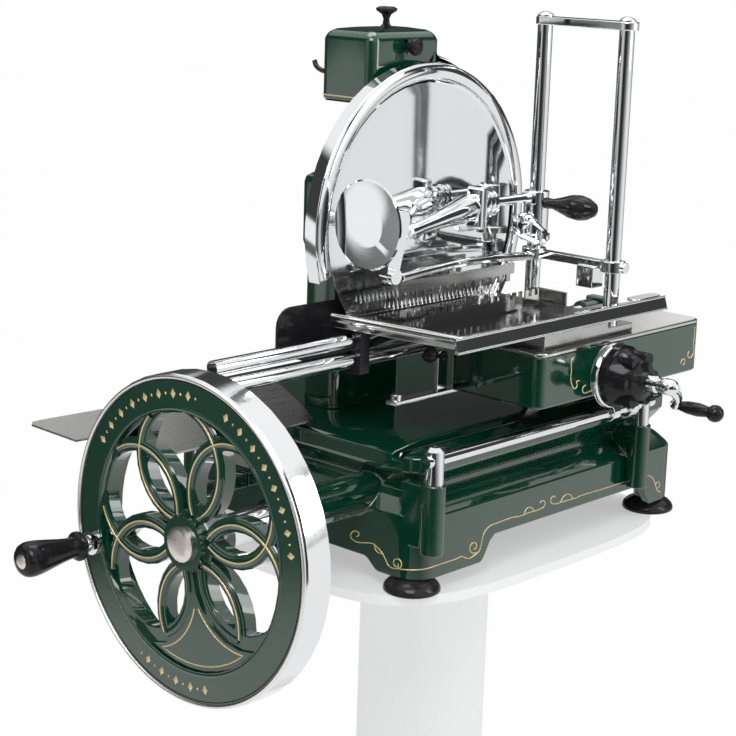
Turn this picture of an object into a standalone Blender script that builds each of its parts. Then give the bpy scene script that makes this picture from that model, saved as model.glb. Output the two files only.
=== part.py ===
"""Hand crank meat slicer: a flywheel turns a round blade while the meat table slides past it."""

import math

import bmesh
import bpy
from mathutils import Matrix, Vector

# Sizes in metres. X runs along the flywheel shaft, -X is the flywheel side, -Y is the handwheel side.
# The origin is the centre between the four feet, in the plane that they stand on.
CLEAR = 0.0003
OVERRUN = 0.004

# Base
BASE_LENGTH = 0.520
BASE_DEPTH = 0.420
BASE_CORNER = 0.030
BASE_WALL = 0.010
BASE_BOTTOM = 0.018
SHOULDER_Z = 0.100
COVE_Z = 0.118
LIP_Z = 0.140
LIP_TOP_Z = 0.160
BASE_TOP_Z = 0.170
SHOULDER_INSET = 0.014
COVE_INSET = 0.026
LIP_INSET = 0.010
DOME_INSET = 0.060
TOP_THICKNESS = 0.012
ARCH_LEFT_INSET = 0.114
ARCH_RIGHT_INSET = 0.055
ARCH_LEFT = ARCH_LEFT_INSET - BASE_LENGTH / 2
ARCH_RIGHT = BASE_LENGTH / 2 - ARCH_RIGHT_INSET
ARCH_HEIGHT = 0.030
ARCH_SWEEP = 0.026
SIDE_ARCH_INSET = 0.060
SIDE_ARCH_HALF = BASE_DEPTH / 2 - SIDE_ARCH_INSET
SIDE_ARCH_HEIGHT = 0.014
SIDE_ARCH_SWEEP = 0.024
FOOT_INSET_X = 0.022
FOOT_INSET_Y = 0.026
FOOT_X = BASE_LENGTH / 2 - FOOT_INSET_X
FOOT_Y = BASE_DEPTH / 2 - FOOT_INSET_Y
FOOT_RADIUS = 0.034
FOOT_NECK_RADIUS = 0.018
STUD_RADIUS = 0.005
STUD_HEIGHT = 0.024
PAD_RADIUS = 0.020
PAD_HEIGHT = 0.050

# Flywheel and its shaft
SHAFT_INSET = 0.100
SHAFT_Y = SHAFT_INSET - BASE_DEPTH / 2
SHAFT_Z = 0.103
SHAFT_RADIUS = 0.009
WHEEL_RADIUS = 0.183
WHEEL_FRONT = -0.524
RIM_WIDTH = 0.038
RIM_INNER = 0.143
RIM_RECESS = 0.006
RIM_LAND = 0.012
HUB_RADIUS = 0.030
HUB_LENGTH = 0.050
HUB_STAND = 0.004
RIB_WIDTH = 0.013
RIB_DEPTH = 0.018
PETALS = 6
PETAL_ROOT = 0.027
PETAL_TIP = 0.121
PETAL_BULGE = 0.0205
RIB_STEPS = 6

HANDLE_Y = 0.152
HANDLE_Z = -0.037
SPINDLE_RADIUS = 0.006
COLLAR_RADIUS = 0.014
COLLAR_LENGTH = 0.018
GRIP_LENGTH = 0.076
GRIP_RADIUS = 0.020
GRIP_CAP_RADIUS = 0.015
GRIP_CAP_LENGTH = 0.010
CAP_RADIUS = 0.020
CAP_LENGTH = 0.007
NECK_RADIUS = 0.024
NECK_END = -0.400
SLEEVE_RADIUS = 0.018
SLEEVE_SPIGOT = 0.014
SLEEVE_INSERT = 0.050

# Drive inside the base
CROSS_X = -0.125
CROSS_RADIUS = 0.008
BEVEL_PITCH = 0.030
BEVEL_FACE = 0.010
BEVEL_TEETH = 12
BEVEL_HUB_RADIUS = 0.015
BEVEL_HUB_LENGTH = 0.012
DISC_RADIUS = 0.046
DISC_THICKNESS = 0.009
DISC_SPACE = 0.048
DISC_FRONT = SHAFT_Y - DISC_SPACE
ROCKER_THICKNESS = 0.008
ROCKER_SPACE = 0.003
ROCKER_Y = DISC_FRONT - ROCKER_SPACE - ROCKER_THICKNESS / 2
ROCKER_PIVOT_Z = 0.053
ROCKER_LENGTH = 0.191
ROCKER_ANGLE = math.radians(45)
ROCKER_HALF = 0.014
ROCKER_EYE = 0.009
CRANK_PIN_RADIUS = 0.005
ROCKER_STUD_RADIUS = 0.006
SPROCKET_RADIUS = 0.040
BLADE_SPROCKET_RADIUS = 0.020
SPROCKET_THICKNESS = 0.004
SPROCKET_Y = 0.024
SPROCKET_TEETH = 14
CHAIN_THICKNESS = 0.004
CHAIN_WIDTH = 0.008
CHAIN_CLEAR = 0.0008

# Blade, guard and support
BLADE_X = -0.100
BLADE_Z = 0.406
BLADE_RADIUS = 0.165
BLADE_THICKNESS = 0.004
BLADE_BEVEL = 0.014
BLADE_FRONT = -0.061
BLADE_BOSS_RADIUS = 0.030
BLADE_SHAFT_RADIUS = 0.009
RING_GAP = 0.003
RING_WIDTH = 0.0205
RING_INNER = BLADE_RADIUS + RING_GAP
RING_RADIUS = RING_INNER + RING_WIDTH
RING_FRONT = -0.0625
RING_DEPTH = 0.017
RING_START = math.radians(-42)
RING_END = math.radians(198)
COVER_RADIUS = 0.045
COVER_DEPTH = 0.006
SUPPORT_LEFT = -0.187
SUPPORT_RIGHT = -0.063
SUPPORT_FRONT = 0.000
SUPPORT_BACK = 0.056
SUPPORT_WALL = 0.007
HOUSING_LEFT = -0.196
HOUSING_RIGHT = -0.040
HOUSING_BOTTOM = 0.364
HOUSING_TOP = 0.459
HOUSING_CORNER = 0.012
SHARPENER_LEFT = -0.174
SHARPENER_RIGHT = -0.051
SHARPENER_FRONT = -0.036
SHARPENER_BACK = 0.049
SHARPENER_DROP = 0.026
SHARPENER_HEIGHT = 0.085
SHARPENER_BOTTOM = BLADE_Z + BLADE_RADIUS - SHARPENER_DROP
SHARPENER_TOP = SHARPENER_BOTTOM + SHARPENER_HEIGHT
SHARPENER_WALL = 0.006
SHARPENER_CORNER = 0.012
KNOB_RADIUS = 0.013
KNOB_HEIGHT = 0.024
BUTTON_RADIUS = 0.0105
BUTTON_HEIGHT = 0.020
STONE_RADIUS = 0.012
STONE_THICKNESS = 0.007
STONE_ROD = 0.004
PANEL_LEFT = -0.330
PANEL_RIGHT = -0.190
PANEL_BOTTOM = 0.262
PANEL_TOP = 0.322
PANEL_THICKNESS = 0.003

# Slice tray
TRAY_THICKNESS = 0.0025
TRAY_Z = 0.176
TRAY_OUTLINE = ((-0.519, 0.163), (-0.523, 0.076), (-0.483, 0.073), (-0.477, 0.066), (-0.477, -0.028),
                (-0.470, -0.035),
                (-0.268, -0.035), (-0.248, -0.027), (-0.204, 0.045), (-0.158, 0.125), (-0.164, 0.144),
                (-0.500, 0.172), (-0.512, 0.171))
TRAY_POST_X = -0.335
TRAY_POST_Y = 0.080
TRAY_POST_RADIUS = 0.007
TRAY_ARM_Z = 0.079
TRAY_ARM_HALF = 0.009

# Guides
ROD_STAND = 0.012
ROD_Y = -BASE_DEPTH / 2 - ROD_STAND
ROD_Z = 0.167
ROD_RADIUS = 0.0073
ROD_INSET = 0.010
ROD_LEFT = ROD_INSET - BASE_LENGTH / 2
ROD_RIGHT = 0.152
ROD_STICK_OUT = 0.010
POST_RADIUS = 0.011
POST_BASE_Z = 0.139
POST_TOP_Z = 0.184
BOSS_RADIUS = 0.014
BOSS_BOTTOM_Z = 0.056
BAR_Y = -0.090
TUBE_Z = 0.2825
TUBE_RADIUS = 0.0085
TUBE_LEFT = -0.470
TUBE_RIGHT = -0.245
BAR_Z = 0.260
BAR_RADIUS = 0.010
BAR_LEFT = -0.470
BRACKET_X = -0.245
BRACKET_INSET = 0.032
BRACKET_RIGHT_X = BASE_LENGTH / 2 - BRACKET_INSET
BRACKET_THICKNESS = 0.016
BRACKET_HALF = 0.015
BAR_RIGHT = BRACKET_RIGHT_X + BRACKET_THICKNESS / 2
BRACKET_TOP = 0.2935
BRACKET_RIGHT_TOP = 0.2765

GEAR_FOOT_SHARE = 0.28
GEAR_TIP_SHARE = 0.11
GEAR_ROOT_SHARE = 1.15
GEAR_CREST_SHARE = 0.80
HOUSING_FRONT = -0.030
RING_ROUND = 0.004
BLADE_CLEAR = 0.0008
STAY_HALF = 0.010
PANEL_Y = -0.046
SKIRT_GAP = 0.003
SKIRT_START = math.radians(62)
SKIRT_END = math.radians(80)
STONE_LEFT_X = -0.118
STONE_RIGHT_X = -0.088
KNOB_X = -0.112
BUTTON_X = -0.112
BUTTON_DROP = 0.018
BUTTON_Z = SHARPENER_TOP - BUTTON_DROP
BUTTON_TRAVEL = 0.003
UPRIGHT_HEIGHT = 0.052
LEVER_LENGTH = 0.030
LEVER_ANGLE = math.radians(15)
BACKPLATE_THICKNESS = 0.003
FORK_BOTTOM = 0.202
PRESS_ARM_RADIUS = 0.005
PRESS_ARM_RISE = 0.006
LOOP_HALF = 0.013
LOOP_REACH = 0.030
LOOP_ANGLE = math.radians(20)
PUSHER_Y = -0.1185
BRACKET_EYE = 0.013
BRACKET_LEAN = 0.014
BRACKET_DROP = 0.046
BRACKET_DEPTH = 0.012
FAN_STAND = 0.003
PANEL_CORNER = 0.022
GUARD_FOOT = 0.014
WEB_ROUND = 0.0015
FAN_GROOVE = 0.003
WEB_HUB_RADIUS = 0.034
WHEEL_LEAN = math.radians(-12)
RIM_STEPS = 4
CHAIN_STEPS = 16
HORN_REACH = 0.0024
BUTTON_STEM = 0.004
BUTTON_STEM_LENGTH = 0.008

# Carriage
CARRIAGE_LEFT = -0.100
CARRIAGE_RIGHT = 0.233
CARRIAGE_FRONT = -0.250
CARRIAGE_BACK = -0.110
CARRIAGE_BOTTOM = 0.204
CARRIAGE_TOP = 0.272
CARRIAGE_WALL = 0.006
CARRIAGE_CORNER = 0.012
LID_THICKNESS = 0.005
FORK_HALF = 0.0188
FORK_THICKNESS = 0.0035
SLIDER_LEFT = 0.077
SLIDER_RIGHT = 0.130
SLIDER_RADIUS = 0.012
BUSH_LEFT_X = 0.127
BUSH_RIGHT_X = 0.202
BUSH_LENGTH = 0.024
BUSH_RADIUS = 0.0145
SCREW_X = 0.045
SCREW_Z = 0.226
SCREW_RADIUS = 0.006
NUT_HALF = 0.012
NUT_LENGTH = 0.014
NUT_Y = -0.150
FEED_TRAVEL = 0.060
HANDWHEEL_Y = -0.258
HANDWHEEL_BACK = 0.008
HANDWHEEL_RADIUS = 0.039
HANDWHEEL_DEPTH = 0.046
LOBES = 6
LOBE_RADIUS = 0.009
CRANK_HUB_RADIUS = 0.011
CRANK_ARM_LENGTH = 0.056
CRANK_ARM_ANGLE = math.radians(-36)
CRANK_ARM_HALF = 0.0055
CRANK_ARM_THICKNESS = 0.007
CRANK_GRIP_LENGTH = 0.050
CRANK_GRIP_RADIUS = 0.0085
CRANK_BALL_RADIUS = 0.0108
CRANK_SPINDLE_RADIUS = 0.003
LINK_LENGTH = 0.120
LINK_WIDTH = 0.016
LINK_THICKNESS = 0.005
LINK_Z = 0.2095
LEVER_X = -0.133
LEVER_BALL_RADIUS = 0.010

# Meat table
TABLE_LEFT = -0.243
TABLE_LEFT_FAR = -0.262
TABLE_RIGHT = 0.045
TABLE_FRONT = -0.254
TABLE_FAR = -0.0665
TABLE_BOTTOM = 0.2965
TABLE_FLOOR = 0.003
TABLE_TOP = 0.313
RAIL_RIGHT = 0.103
RAIL_THICKNESS = 0.004
BEAD_RADIUS = 0.0050
CARRIER_LEFT = -0.080
CARRIER_RIGHT = 0.098
CARRIER_FRONT = -0.238
CARRIER_BACK = -0.112
CARRIER_STEP_X = 0.046
CARRIER_FOOT_THICKNESS = 0.010
CARRIER_TONGUE_BACK = -0.0835
COLUMN_X = 0.0735
COLUMN_FRONT_Y = -0.220
COLUMN_BACK_Y = -0.097
COLUMN_RADIUS = 0.0095
COLUMN_TOP = 0.638
COLUMN_PIN_RADIUS = 0.006
COLUMN_PIN = 0.007
CROSSBAR_THICKNESS = 0.010
CROSSBAR_BOSS = 0.014
FENCE_LEFT = -0.190
FENCE_RIGHT = 0.028
FENCE_Y = -0.145
FENCE_THICKNESS = 0.002
FENCE_TOOTH = 0.012
FENCE_HEIGHT = 0.020
SPIKE_ROWS = 2
SPIKES = 8
SPIKE_HEIGHT = 0.009
SPIKE_RADIUS = 0.0016
BACKPLATE_LEFT = 0.052
BACKPLATE_Y = -0.130
BACKPLATE_LENGTH = 0.075
BACKPLATE_HEIGHT = 0.032
TAB_LENGTH = 0.040
TAB_WIDTH = 0.018

# Press
YOKE_Z = 0.346
YOKE_HEIGHT = 0.014
YOKE_HALF = 0.007
YOKE_RING = 0.0155
PRESS_PLATE_LEFT = -0.183
PRESS_PLATE_RIGHT = 0.030
PRESS_PLATE_Y = -0.100
PRESS_PLATE_TOP = 0.345
PRESS_PLATE_HEIGHT = 0.022
PRESS_PLATE_THICKNESS = 0.003
PRESS_TEETH = 14
CLAMP_BOTTOM = 0.374
CLAMP_HEIGHT = 0.058
CLAMP_RADIUS = 0.0160
TEAR_LENGTH = 0.078
TEAR_RADIUS = 0.016
TEAR_Z = 0.418
LOOP_RADIUS = 0.0035
CROSS_ROD_Z = 0.424
CROSS_ROD_RADIUS = 0.006
CROSS_ROD_LEFT = -0.044

RIBBED_LENGTH = 0.024
RIBBED_RADIUS = 0.017
PUSH_ARM_END = -0.196
PUSH_ARM_Z = 0.406
PUSHER_X = -0.262
PUSHER_Z = 0.422
PUSHER_RADIUS = 0.052
PUSHER_THICKNESS = 0.003
ROUND_SIDES = 32
SMALL_SIDES = 16
RIM_SIDES = 48


def rgb(r, g, b):
    return (r, g, b, 1.0)


GREEN = ("green_enamel", rgb(0.004, 0.075, 0.045), 0.12, 0.0)
CHROME = ("polished_chrome", rgb(0.80, 0.81, 0.82), 0.08, 1.0)
STEEL = ("stainless_steel", rgb(0.62, 0.63, 0.65), 0.22, 1.0)
IRON = ("machined_steel", rgb(0.30, 0.30, 0.31), 0.35, 1.0)
BLACK = ("black_resin", rgb(0.010, 0.010, 0.011), 0.18, 0.0)
RUBBER = ("black_rubber", rgb(0.015, 0.015, 0.015), 0.55, 0.0)
BRUSHED = ("brushed_cap", rgb(0.70, 0.66, 0.60), 0.30, 1.0)
GRIT = ("grinding_stone", rgb(0.33, 0.31, 0.29), 0.85, 0.0)

for old in list(bpy.data.objects):
    bpy.data.objects.remove(old, do_unlink=True)

PARTS = bpy.data.collections.new("hand_crank_meat_slicer")
TOOLS = bpy.data.collections.new("cutters")
bpy.context.scene.collection.children.link(PARTS)
bpy.context.scene.collection.children.link(TOOLS)
TOOLS.hide_render = True


def material(spec):
    name, colour, rough, metal = spec
    found = bpy.data.materials.get(name)
    if found:
        return found
    made = bpy.data.materials.new(name)
    made.use_nodes = True
    shader = made.node_tree.nodes["Principled BSDF"]
    shader.inputs["Base Color"].default_value = colour
    shader.inputs["Roughness"].default_value = rough
    shader.inputs["Metallic"].default_value = metal
    return made


def pivot(name, place, parent=None):
    """An empty on a joint's axis, which the moving pieces hang from."""
    empty = bpy.data.objects.new(name, None)
    empty.empty_display_size = HUB_RADIUS
    PARTS.objects.link(empty)
    empty.location = place
    if parent:
        hold(empty, parent)
    return empty


def world_of(obj):
    matrix = obj.matrix_basis.copy()
    while obj.parent:
        matrix = obj.parent.matrix_basis @ obj.matrix_parent_inverse @ matrix
        obj = obj.parent
    return matrix


def hold(child, parent):
    """Parents the child and leaves it where it is."""
    child.parent = parent
    child.matrix_parent_inverse = world_of(parent).inverted()


def finish(obj, look, parent):
    obj.data.materials.clear()
    obj.data.materials.append(material(look))
    if parent:
        hold(obj, parent)
    return obj


def helper(obj):
    """Moves an object to the cutters' collection."""
    for owner in list(obj.users_collection):
        owner.objects.unlink(obj)
    TOOLS.objects.link(obj)
    obj.hide_render = True
    obj.display_type = "WIRE"
    return obj


def mesh_object(name, shape, sharp=math.radians(32)):
    mesh = bpy.data.meshes.new(name)
    bmesh.ops.recalc_face_normals(shape, faces=shape.faces)
    shape.to_mesh(mesh)
    shape.free()
    obj = bpy.data.objects.new(name, mesh)
    PARTS.objects.link(obj)
    mesh.shade_smooth()
    mesh.set_sharp_from_angle(angle=sharp)
    return obj


def turn_to(axis):
    """The matrix that lays +Z along the named axis."""
    turns = {
        "Z": Matrix.Identity(4),
        "X": Matrix.Rotation(math.pi / 2, 4, "Y"),
        "-X": Matrix.Rotation(-math.pi / 2, 4, "Y"),
        "Y": Matrix.Rotation(-math.pi / 2, 4, "X"),
        "-Y": Matrix.Rotation(math.pi / 2, 4, "X"),
        "-Z": Matrix.Rotation(math.pi, 4, "X"),
    }
    return turns[axis]


def box(name, x, y, z, bevel=0.0, upright=False):
    """A block between three pairs of planes, its edges rounded. upright rounds only the vertical edges."""
    shape = bmesh.new()
    bmesh.ops.create_cube(shape, size=1.0)
    for vert in shape.verts:
        vert.co.x = (x[0] + x[1]) / 2 + vert.co.x * (x[1] - x[0])
        vert.co.y = (y[0] + y[1]) / 2 + vert.co.y * (y[1] - y[0])
        vert.co.z = (z[0] + z[1]) / 2 + vert.co.z * (z[1] - z[0])
    if bevel:
        edges = list(shape.edges)
        if upright:
            edges = [e for e in edges if abs(e.verts[0].co.z - e.verts[1].co.z) > bevel]
        bmesh.ops.bevel(shape, geom=edges, offset=bevel, segments=2, affect="EDGES", profile=0.5)
    return mesh_object(name, shape)


def rod(name, start, end, radius, sides=SMALL_SIDES):
    """A solid cylinder between two points."""
    start, end = Vector(start), Vector(end)
    shape = bmesh.new()
    span = end - start
    turn = span.to_track_quat("Z", "Y").to_matrix().to_4x4()
    place = Matrix.Translation((start + end) / 2) @ turn
    bmesh.ops.create_cone(shape, cap_ends=True, segments=sides, radius1=radius, radius2=radius,
                          depth=span.length, matrix=place)
    return mesh_object(name, shape)


def ball(name, centre, radius):
    shape = bmesh.new()
    bmesh.ops.create_uvsphere(shape, u_segments=SMALL_SIDES, v_segments=SMALL_SIDES // 2,
                              radius=radius, matrix=Matrix.Translation(centre))
    return mesh_object(name, shape)


def turned(name, profile, centre, axis="Z", sides=SMALL_SIDES):
    """A turned shape. The profile lists (radius, height) from the top of the outer side down and, for a bore, back up."""
    mesh = bpy.data.meshes.new(name)
    points = [(radius, 0.0, height) for radius, height in profile]
    edges = [(i, i + 1) for i in range(len(points) - 1)]
    if profile[0][0] > 0 and profile[-1][0] > 0:
        edges.append((len(points) - 1, 0))
    mesh.from_pydata(points, edges, [])
    obj = bpy.data.objects.new(name, mesh)
    PARTS.objects.link(obj)
    obj.matrix_basis = Matrix.Translation(centre) @ turn_to(axis)
    screw = obj.modifiers.new("turning", "SCREW")
    screw.steps = sides
    screw.render_steps = sides
    screw.use_merge_vertices = True
    screw.merge_threshold = 0.0001
    screw.use_smooth_shade = True
    return obj


def plane_turn(plane):
    """The matrix that lays the X-Y plane on the named plane."""
    turns = {
        "XY": Matrix.Identity(4),
        "XZ": Matrix.Rotation(math.pi / 2, 4, "X"),
        "YZ": Matrix.Rotation(math.pi / 2, 4, "Z") @ Matrix.Rotation(math.pi / 2, 4, "X"),
    }
    return turns[plane]


def outline(name, points, thickness, centre, plane="XY", bevel=0.0):
    """A flat shape from its outline, of the given thickness about its plane."""
    curve = bpy.data.curves.new(name, "CURVE")
    curve.dimensions = "2D"
    curve.fill_mode = "BOTH"
    curve.extrude = thickness / 2 - bevel
    curve.bevel_depth = bevel
    curve.bevel_resolution = 0
    curve.resolution_u = 1
    loops = points if isinstance(points[0], list) else [points]
    for loop in loops:
        spline = curve.splines.new("POLY")
        spline.points.add(len(loop) - 1)
        for point, (a, b) in zip(spline.points, loop):
            point.co = (a, b, 0.0, 1.0)
        spline.use_cyclic_u = True
    obj = bpy.data.objects.new(name, curve)
    PARTS.objects.link(obj)
    obj.matrix_basis = Matrix.Translation(centre) @ plane_turn(plane)
    return as_mesh(obj)


def bar(name, points, radius, closed=False):
    """A bent rod along points."""
    curve = bpy.data.curves.new(name, "CURVE")
    curve.dimensions = "3D"
    curve.bevel_depth = radius
    curve.bevel_resolution = 1
    curve.use_fill_caps = not closed
    curve.resolution_u = 1
    spline = curve.splines.new("POLY")
    spline.points.add(len(points) - 1)
    for point, place in zip(spline.points, points):
        point.co = (*place, 1.0)
    spline.use_cyclic_u = closed
    obj = bpy.data.objects.new(name, curve)
    PARTS.objects.link(obj)
    return as_mesh(obj)


def flat_bar(name, points, width, depth, centre, plane):
    """A flat bar with rounded edges along points in its plane. depth is measured across the plane."""
    curve = bpy.data.curves.new(name, "CURVE")
    curve.dimensions = "3D"
    curve.twist_mode = "Z_UP"
    curve.bevel_depth = width / 2
    curve.bevel_resolution = 1
    curve.extrude = depth / 2 - width / 2
    curve.use_fill_caps = True
    curve.resolution_u = 1
    spline = curve.splines.new("POLY")
    spline.points.add(len(points) - 1)
    for point, place in zip(spline.points, points):
        point.co = (*place, 1.0)
    obj = bpy.data.objects.new(name, curve)
    PARTS.objects.link(obj)
    obj.matrix_basis = Matrix.Translation(centre) @ plane_turn(plane)
    return as_mesh(obj)


def as_mesh(obj):
    """Makes the curve object a mesh object, with its caps welded on."""
    bpy.context.view_layer.update()
    graph = bpy.context.evaluated_depsgraph_get()
    mesh = bpy.data.meshes.new_from_object(obj.evaluated_get(graph))
    shape = bmesh.new()
    shape.from_mesh(mesh)
    bmesh.ops.remove_doubles(shape, verts=shape.verts, dist=0.000005)
    bmesh.ops.recalc_face_normals(shape, faces=shape.faces)
    shape.to_mesh(mesh)
    shape.free()
    name = obj.name
    place = obj.matrix_basis.copy()
    bpy.data.objects.remove(obj, do_unlink=True)
    made = bpy.data.objects.new(name, mesh)
    PARTS.objects.link(made)
    made.matrix_basis = place
    mesh.shade_smooth()
    mesh.set_sharp_from_angle(angle=math.radians(32))
    return made


def boolean(obj, others, operation):
    for other in others:
        helper(other)
        change = obj.modifiers.new(operation.lower(), "BOOLEAN")
        change.object = other
        change.operation = operation
        change.solver = "EXACT"
    return obj


def join(obj, *others):
    return boolean(obj, others, "UNION")


def cut(obj, *others):
    return boolean(obj, others, "DIFFERENCE")


def rounded_rectangle(half_x, half_y, corner, steps=3):
    """Points of a rounded rectangle about the origin, anticlockwise."""
    points = []
    for index, (sx, sy) in enumerate(((1, 1), (-1, 1), (-1, -1), (1, -1))):
        for step in range(steps + 1):
            angle = math.pi / 2 * (index + step / steps)
            points.append((sx * (half_x - corner) + corner * math.cos(angle),
                           sy * (half_y - corner) + corner * math.sin(angle)))
    return points


def stack(name, centre, half_x, half_y, corner, sections):
    """Rounded rectangles stacked in Z. Each section is (inset, height)."""
    shape = bmesh.new()
    rings = []
    for inset, height in sections:
        round_off = max(corner - inset / 2, corner / 4)
        ring = rounded_rectangle(half_x - inset, half_y - inset, round_off)
        rings.append([shape.verts.new((centre[0] + a, centre[1] + b, height)) for a, b in ring])
    count = len(rings[0])
    for low, high in zip(rings, rings[1:]):
        for i in range(count):
            j = (i + 1) % count
            shape.faces.new((low[i], low[j], high[j], high[i]))
    shape.faces.new(list(reversed(rings[0])))
    shape.faces.new(rings[-1])
    return mesh_object(name, shape)


def arc(centre_a, centre_b, radius, start, end, steps):
    """Points of an arc, both ends included."""
    return [(centre_a + radius * math.cos(start + (end - start) * i / steps),
             centre_b + radius * math.sin(start + (end - start) * i / steps))
            for i in range(steps + 1)]


def tapered_link(start, end, start_radius, end_radius, steps=8):
    """Outline of a link whose two round ends differ in size."""
    along = Vector(end) - Vector(start)
    heading = math.atan2(along.y, along.x)
    lean = math.asin((start_radius - end_radius) / along.length)
    half = math.pi / 2
    near = arc(start[0], start[1], start_radius, heading + half - lean, heading + 3 * half + lean, steps)
    far = arc(end[0], end[1], end_radius, heading - half + lean, heading + half - lean, steps)
    return near + far


# Base casting
def base_sections(wall, low, high):
    """The base's profile as (inset, height), thinner by the wall."""
    return [
        (wall, low),
        (wall, SHOULDER_Z - SHOULDER_INSET / 2),
        (wall + SHOULDER_INSET, SHOULDER_Z + SHOULDER_INSET / 2),
        (wall + COVE_INSET, COVE_Z - SHOULDER_INSET / 4),
        (wall + COVE_INSET, COVE_Z + SHOULDER_INSET / 4),
        (wall + LIP_INSET + SHOULDER_INSET / 3, LIP_Z - SHOULDER_INSET / 4),
        (wall + LIP_INSET, LIP_Z + SHOULDER_INSET / 4),
        (wall + LIP_INSET, high),
    ]


def arch(left, right, rise, sweep, bottom):
    """Outline of the opening under a skirt: flat top with a curve swept in at each end."""
    steps = 6
    points = [(left - sweep / 2, bottom - OVERRUN), (left, bottom - OVERRUN), (left, bottom)]
    for i in range(steps + 1):
        t = i / steps
        points.append((left + sweep * t, bottom + rise * math.sin(t * math.pi / 2) ** 2))
    for i in range(steps + 1):
        t = 1 - i / steps
        points.append((right - sweep * t, bottom + rise * math.sin(t * math.pi / 2) ** 2))
    points += [(right, bottom - OVERRUN)]
    return points[1:]


half_length = BASE_LENGTH / 2
half_depth = BASE_DEPTH / 2
outer = base_sections(0.0, BASE_BOTTOM, LIP_TOP_Z)
outer += [(LIP_INSET + BASE_WALL / 2, LIP_TOP_Z + BASE_WALL / 3),
          (DOME_INSET, BASE_TOP_Z), ]
base = stack("base_casting", (0, 0), half_length, half_depth, BASE_CORNER, outer)
inner = base_sections(BASE_WALL, BASE_BOTTOM - OVERRUN, BASE_TOP_Z - TOP_THICKNESS)
inner[-1] = (BASE_WALL + LIP_INSET + BASE_WALL / 2, BASE_TOP_Z - TOP_THICKNESS)
hollow = stack("base_hollow", (0, 0), half_length, half_depth, BASE_CORNER, inner)
front_arch = outline("base_front_arch",
                     arch(ARCH_LEFT, ARCH_RIGHT, ARCH_HEIGHT, ARCH_SWEEP, BASE_BOTTOM),
                     BASE_DEPTH + 2 * OVERRUN, (0, 0, 0), "XZ")
side_arch = outline("base_side_arch",
                    arch(-SIDE_ARCH_HALF, SIDE_ARCH_HALF, SIDE_ARCH_HEIGHT, SIDE_ARCH_SWEEP, BASE_BOTTOM),
                    BASE_LENGTH + 2 * OVERRUN, (0, 0, 0), "YZ")
cut(base, hollow, front_arch, side_arch)

sleeve_bore = SLEEVE_SPIGOT + CLEAR
join(base, rod("neck", (-half_length + BASE_WALL + COVE_INSET, SHAFT_Y, SHAFT_Z),
               (NECK_END, SHAFT_Y, SHAFT_Z), NECK_RADIUS, SMALL_SIDES))
for place in (ROD_LEFT, ROD_RIGHT):
    boss = rod("rod_boss", (place, ROD_Y, BOSS_BOTTOM_Z), (place, ROD_Y, POST_BASE_Z), BOSS_RADIUS)
    web = box("rod_boss_web", (place - BOSS_RADIUS / 2, place + BOSS_RADIUS / 2),
              (ROD_Y, -half_depth + COVE_INSET + BASE_WALL / 2), (BOSS_BOTTOM_Z + OVERRUN,
                                                                  POST_BASE_Z - OVERRUN))
    join(base, boss, web)
for sx in (-1, 1):
    for sy in (-1, 1):
        pad_x = sx * FOOT_X
        pad_y = sy * FOOT_Y
        pad = rod("foot_pad", (pad_x, pad_y, BASE_BOTTOM), (pad_x, pad_y, BASE_BOTTOM + PAD_HEIGHT),
                  PAD_RADIUS)
        join(base, pad)
# Wall that carries the far end of the cross shaft, and the boss of the rocker's stud.
rocker_pivot = (CROSS_X, ROCKER_Y, ROCKER_PIVOT_Z)
rocker_near = ROCKER_Y - ROCKER_THICKNESS / 2
stud_boss = rod("stud_boss", (CROSS_X, -half_depth + BASE_WALL / 2, ROCKER_PIVOT_Z),
                (CROSS_X, rocker_near - 2 * CLEAR, ROCKER_PIVOT_Z), ROCKER_HALF)
shaft_wall = box("shaft_wall", (SUPPORT_LEFT, SUPPORT_RIGHT), (SUPPORT_BACK, SUPPORT_BACK + BASE_WALL),
                 (SHAFT_Z - NECK_RADIUS, BASE_TOP_Z - TOP_THICKNESS / 2))
join(base, stud_boss, shaft_wall)
stud = rod("rocker_stud", (CROSS_X, rocker_near - OVERRUN, ROCKER_PIVOT_Z),
           (CROSS_X, ROCKER_Y + ROCKER_THICKNESS / 2, ROCKER_PIVOT_Z), ROCKER_STUD_RADIUS)
right_bracket = box("bar_bracket_right", (BRACKET_RIGHT_X - BRACKET_THICKNESS / 2, BRACKET_RIGHT_X
                                          + BRACKET_THICKNESS / 2),
                    (BAR_Y - BRACKET_HALF, BAR_Y + BRACKET_HALF),
                    (BASE_TOP_Z - TOP_THICKNESS, BRACKET_RIGHT_TOP), BRACKET_THICKNESS / 8)
join(base, stud, right_bracket)
right_bore = rod("right_bar_bore", (BRACKET_RIGHT_X - BRACKET_THICKNESS, BAR_Y, BAR_Z),
                 (BRACKET_RIGHT_X + BRACKET_THICKNESS, BAR_Y, BAR_Z), BAR_RADIUS + CLEAR)
neck_bore = rod("neck_bore", (NECK_END - OVERRUN, SHAFT_Y, SHAFT_Z),
                (-half_length + BASE_WALL + COVE_INSET + OVERRUN, SHAFT_Y, SHAFT_Z), sleeve_bore)
cross_bore = rod("cross_bore", (CROSS_X, SUPPORT_BACK - OVERRUN, SHAFT_Z),
                 (CROSS_X, SUPPORT_BACK + BASE_WALL + OVERRUN, SHAFT_Z), CROSS_RADIUS + CLEAR)
slot_lean = ROCKER_ANGLE
slot_reach = (BASE_TOP_Z - ROCKER_PIVOT_Z) * math.tan(slot_lean) + 2 * ROCKER_HALF
rocker_slot = box("rocker_slot", (CROSS_X - slot_reach + OVERRUN, CROSS_X + slot_reach),
                  (ROCKER_Y - ROCKER_THICKNESS, ROCKER_Y + ROCKER_THICKNESS),
                  (BASE_TOP_Z - TOP_THICKNESS - OVERRUN, BASE_TOP_Z + OVERRUN))
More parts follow.
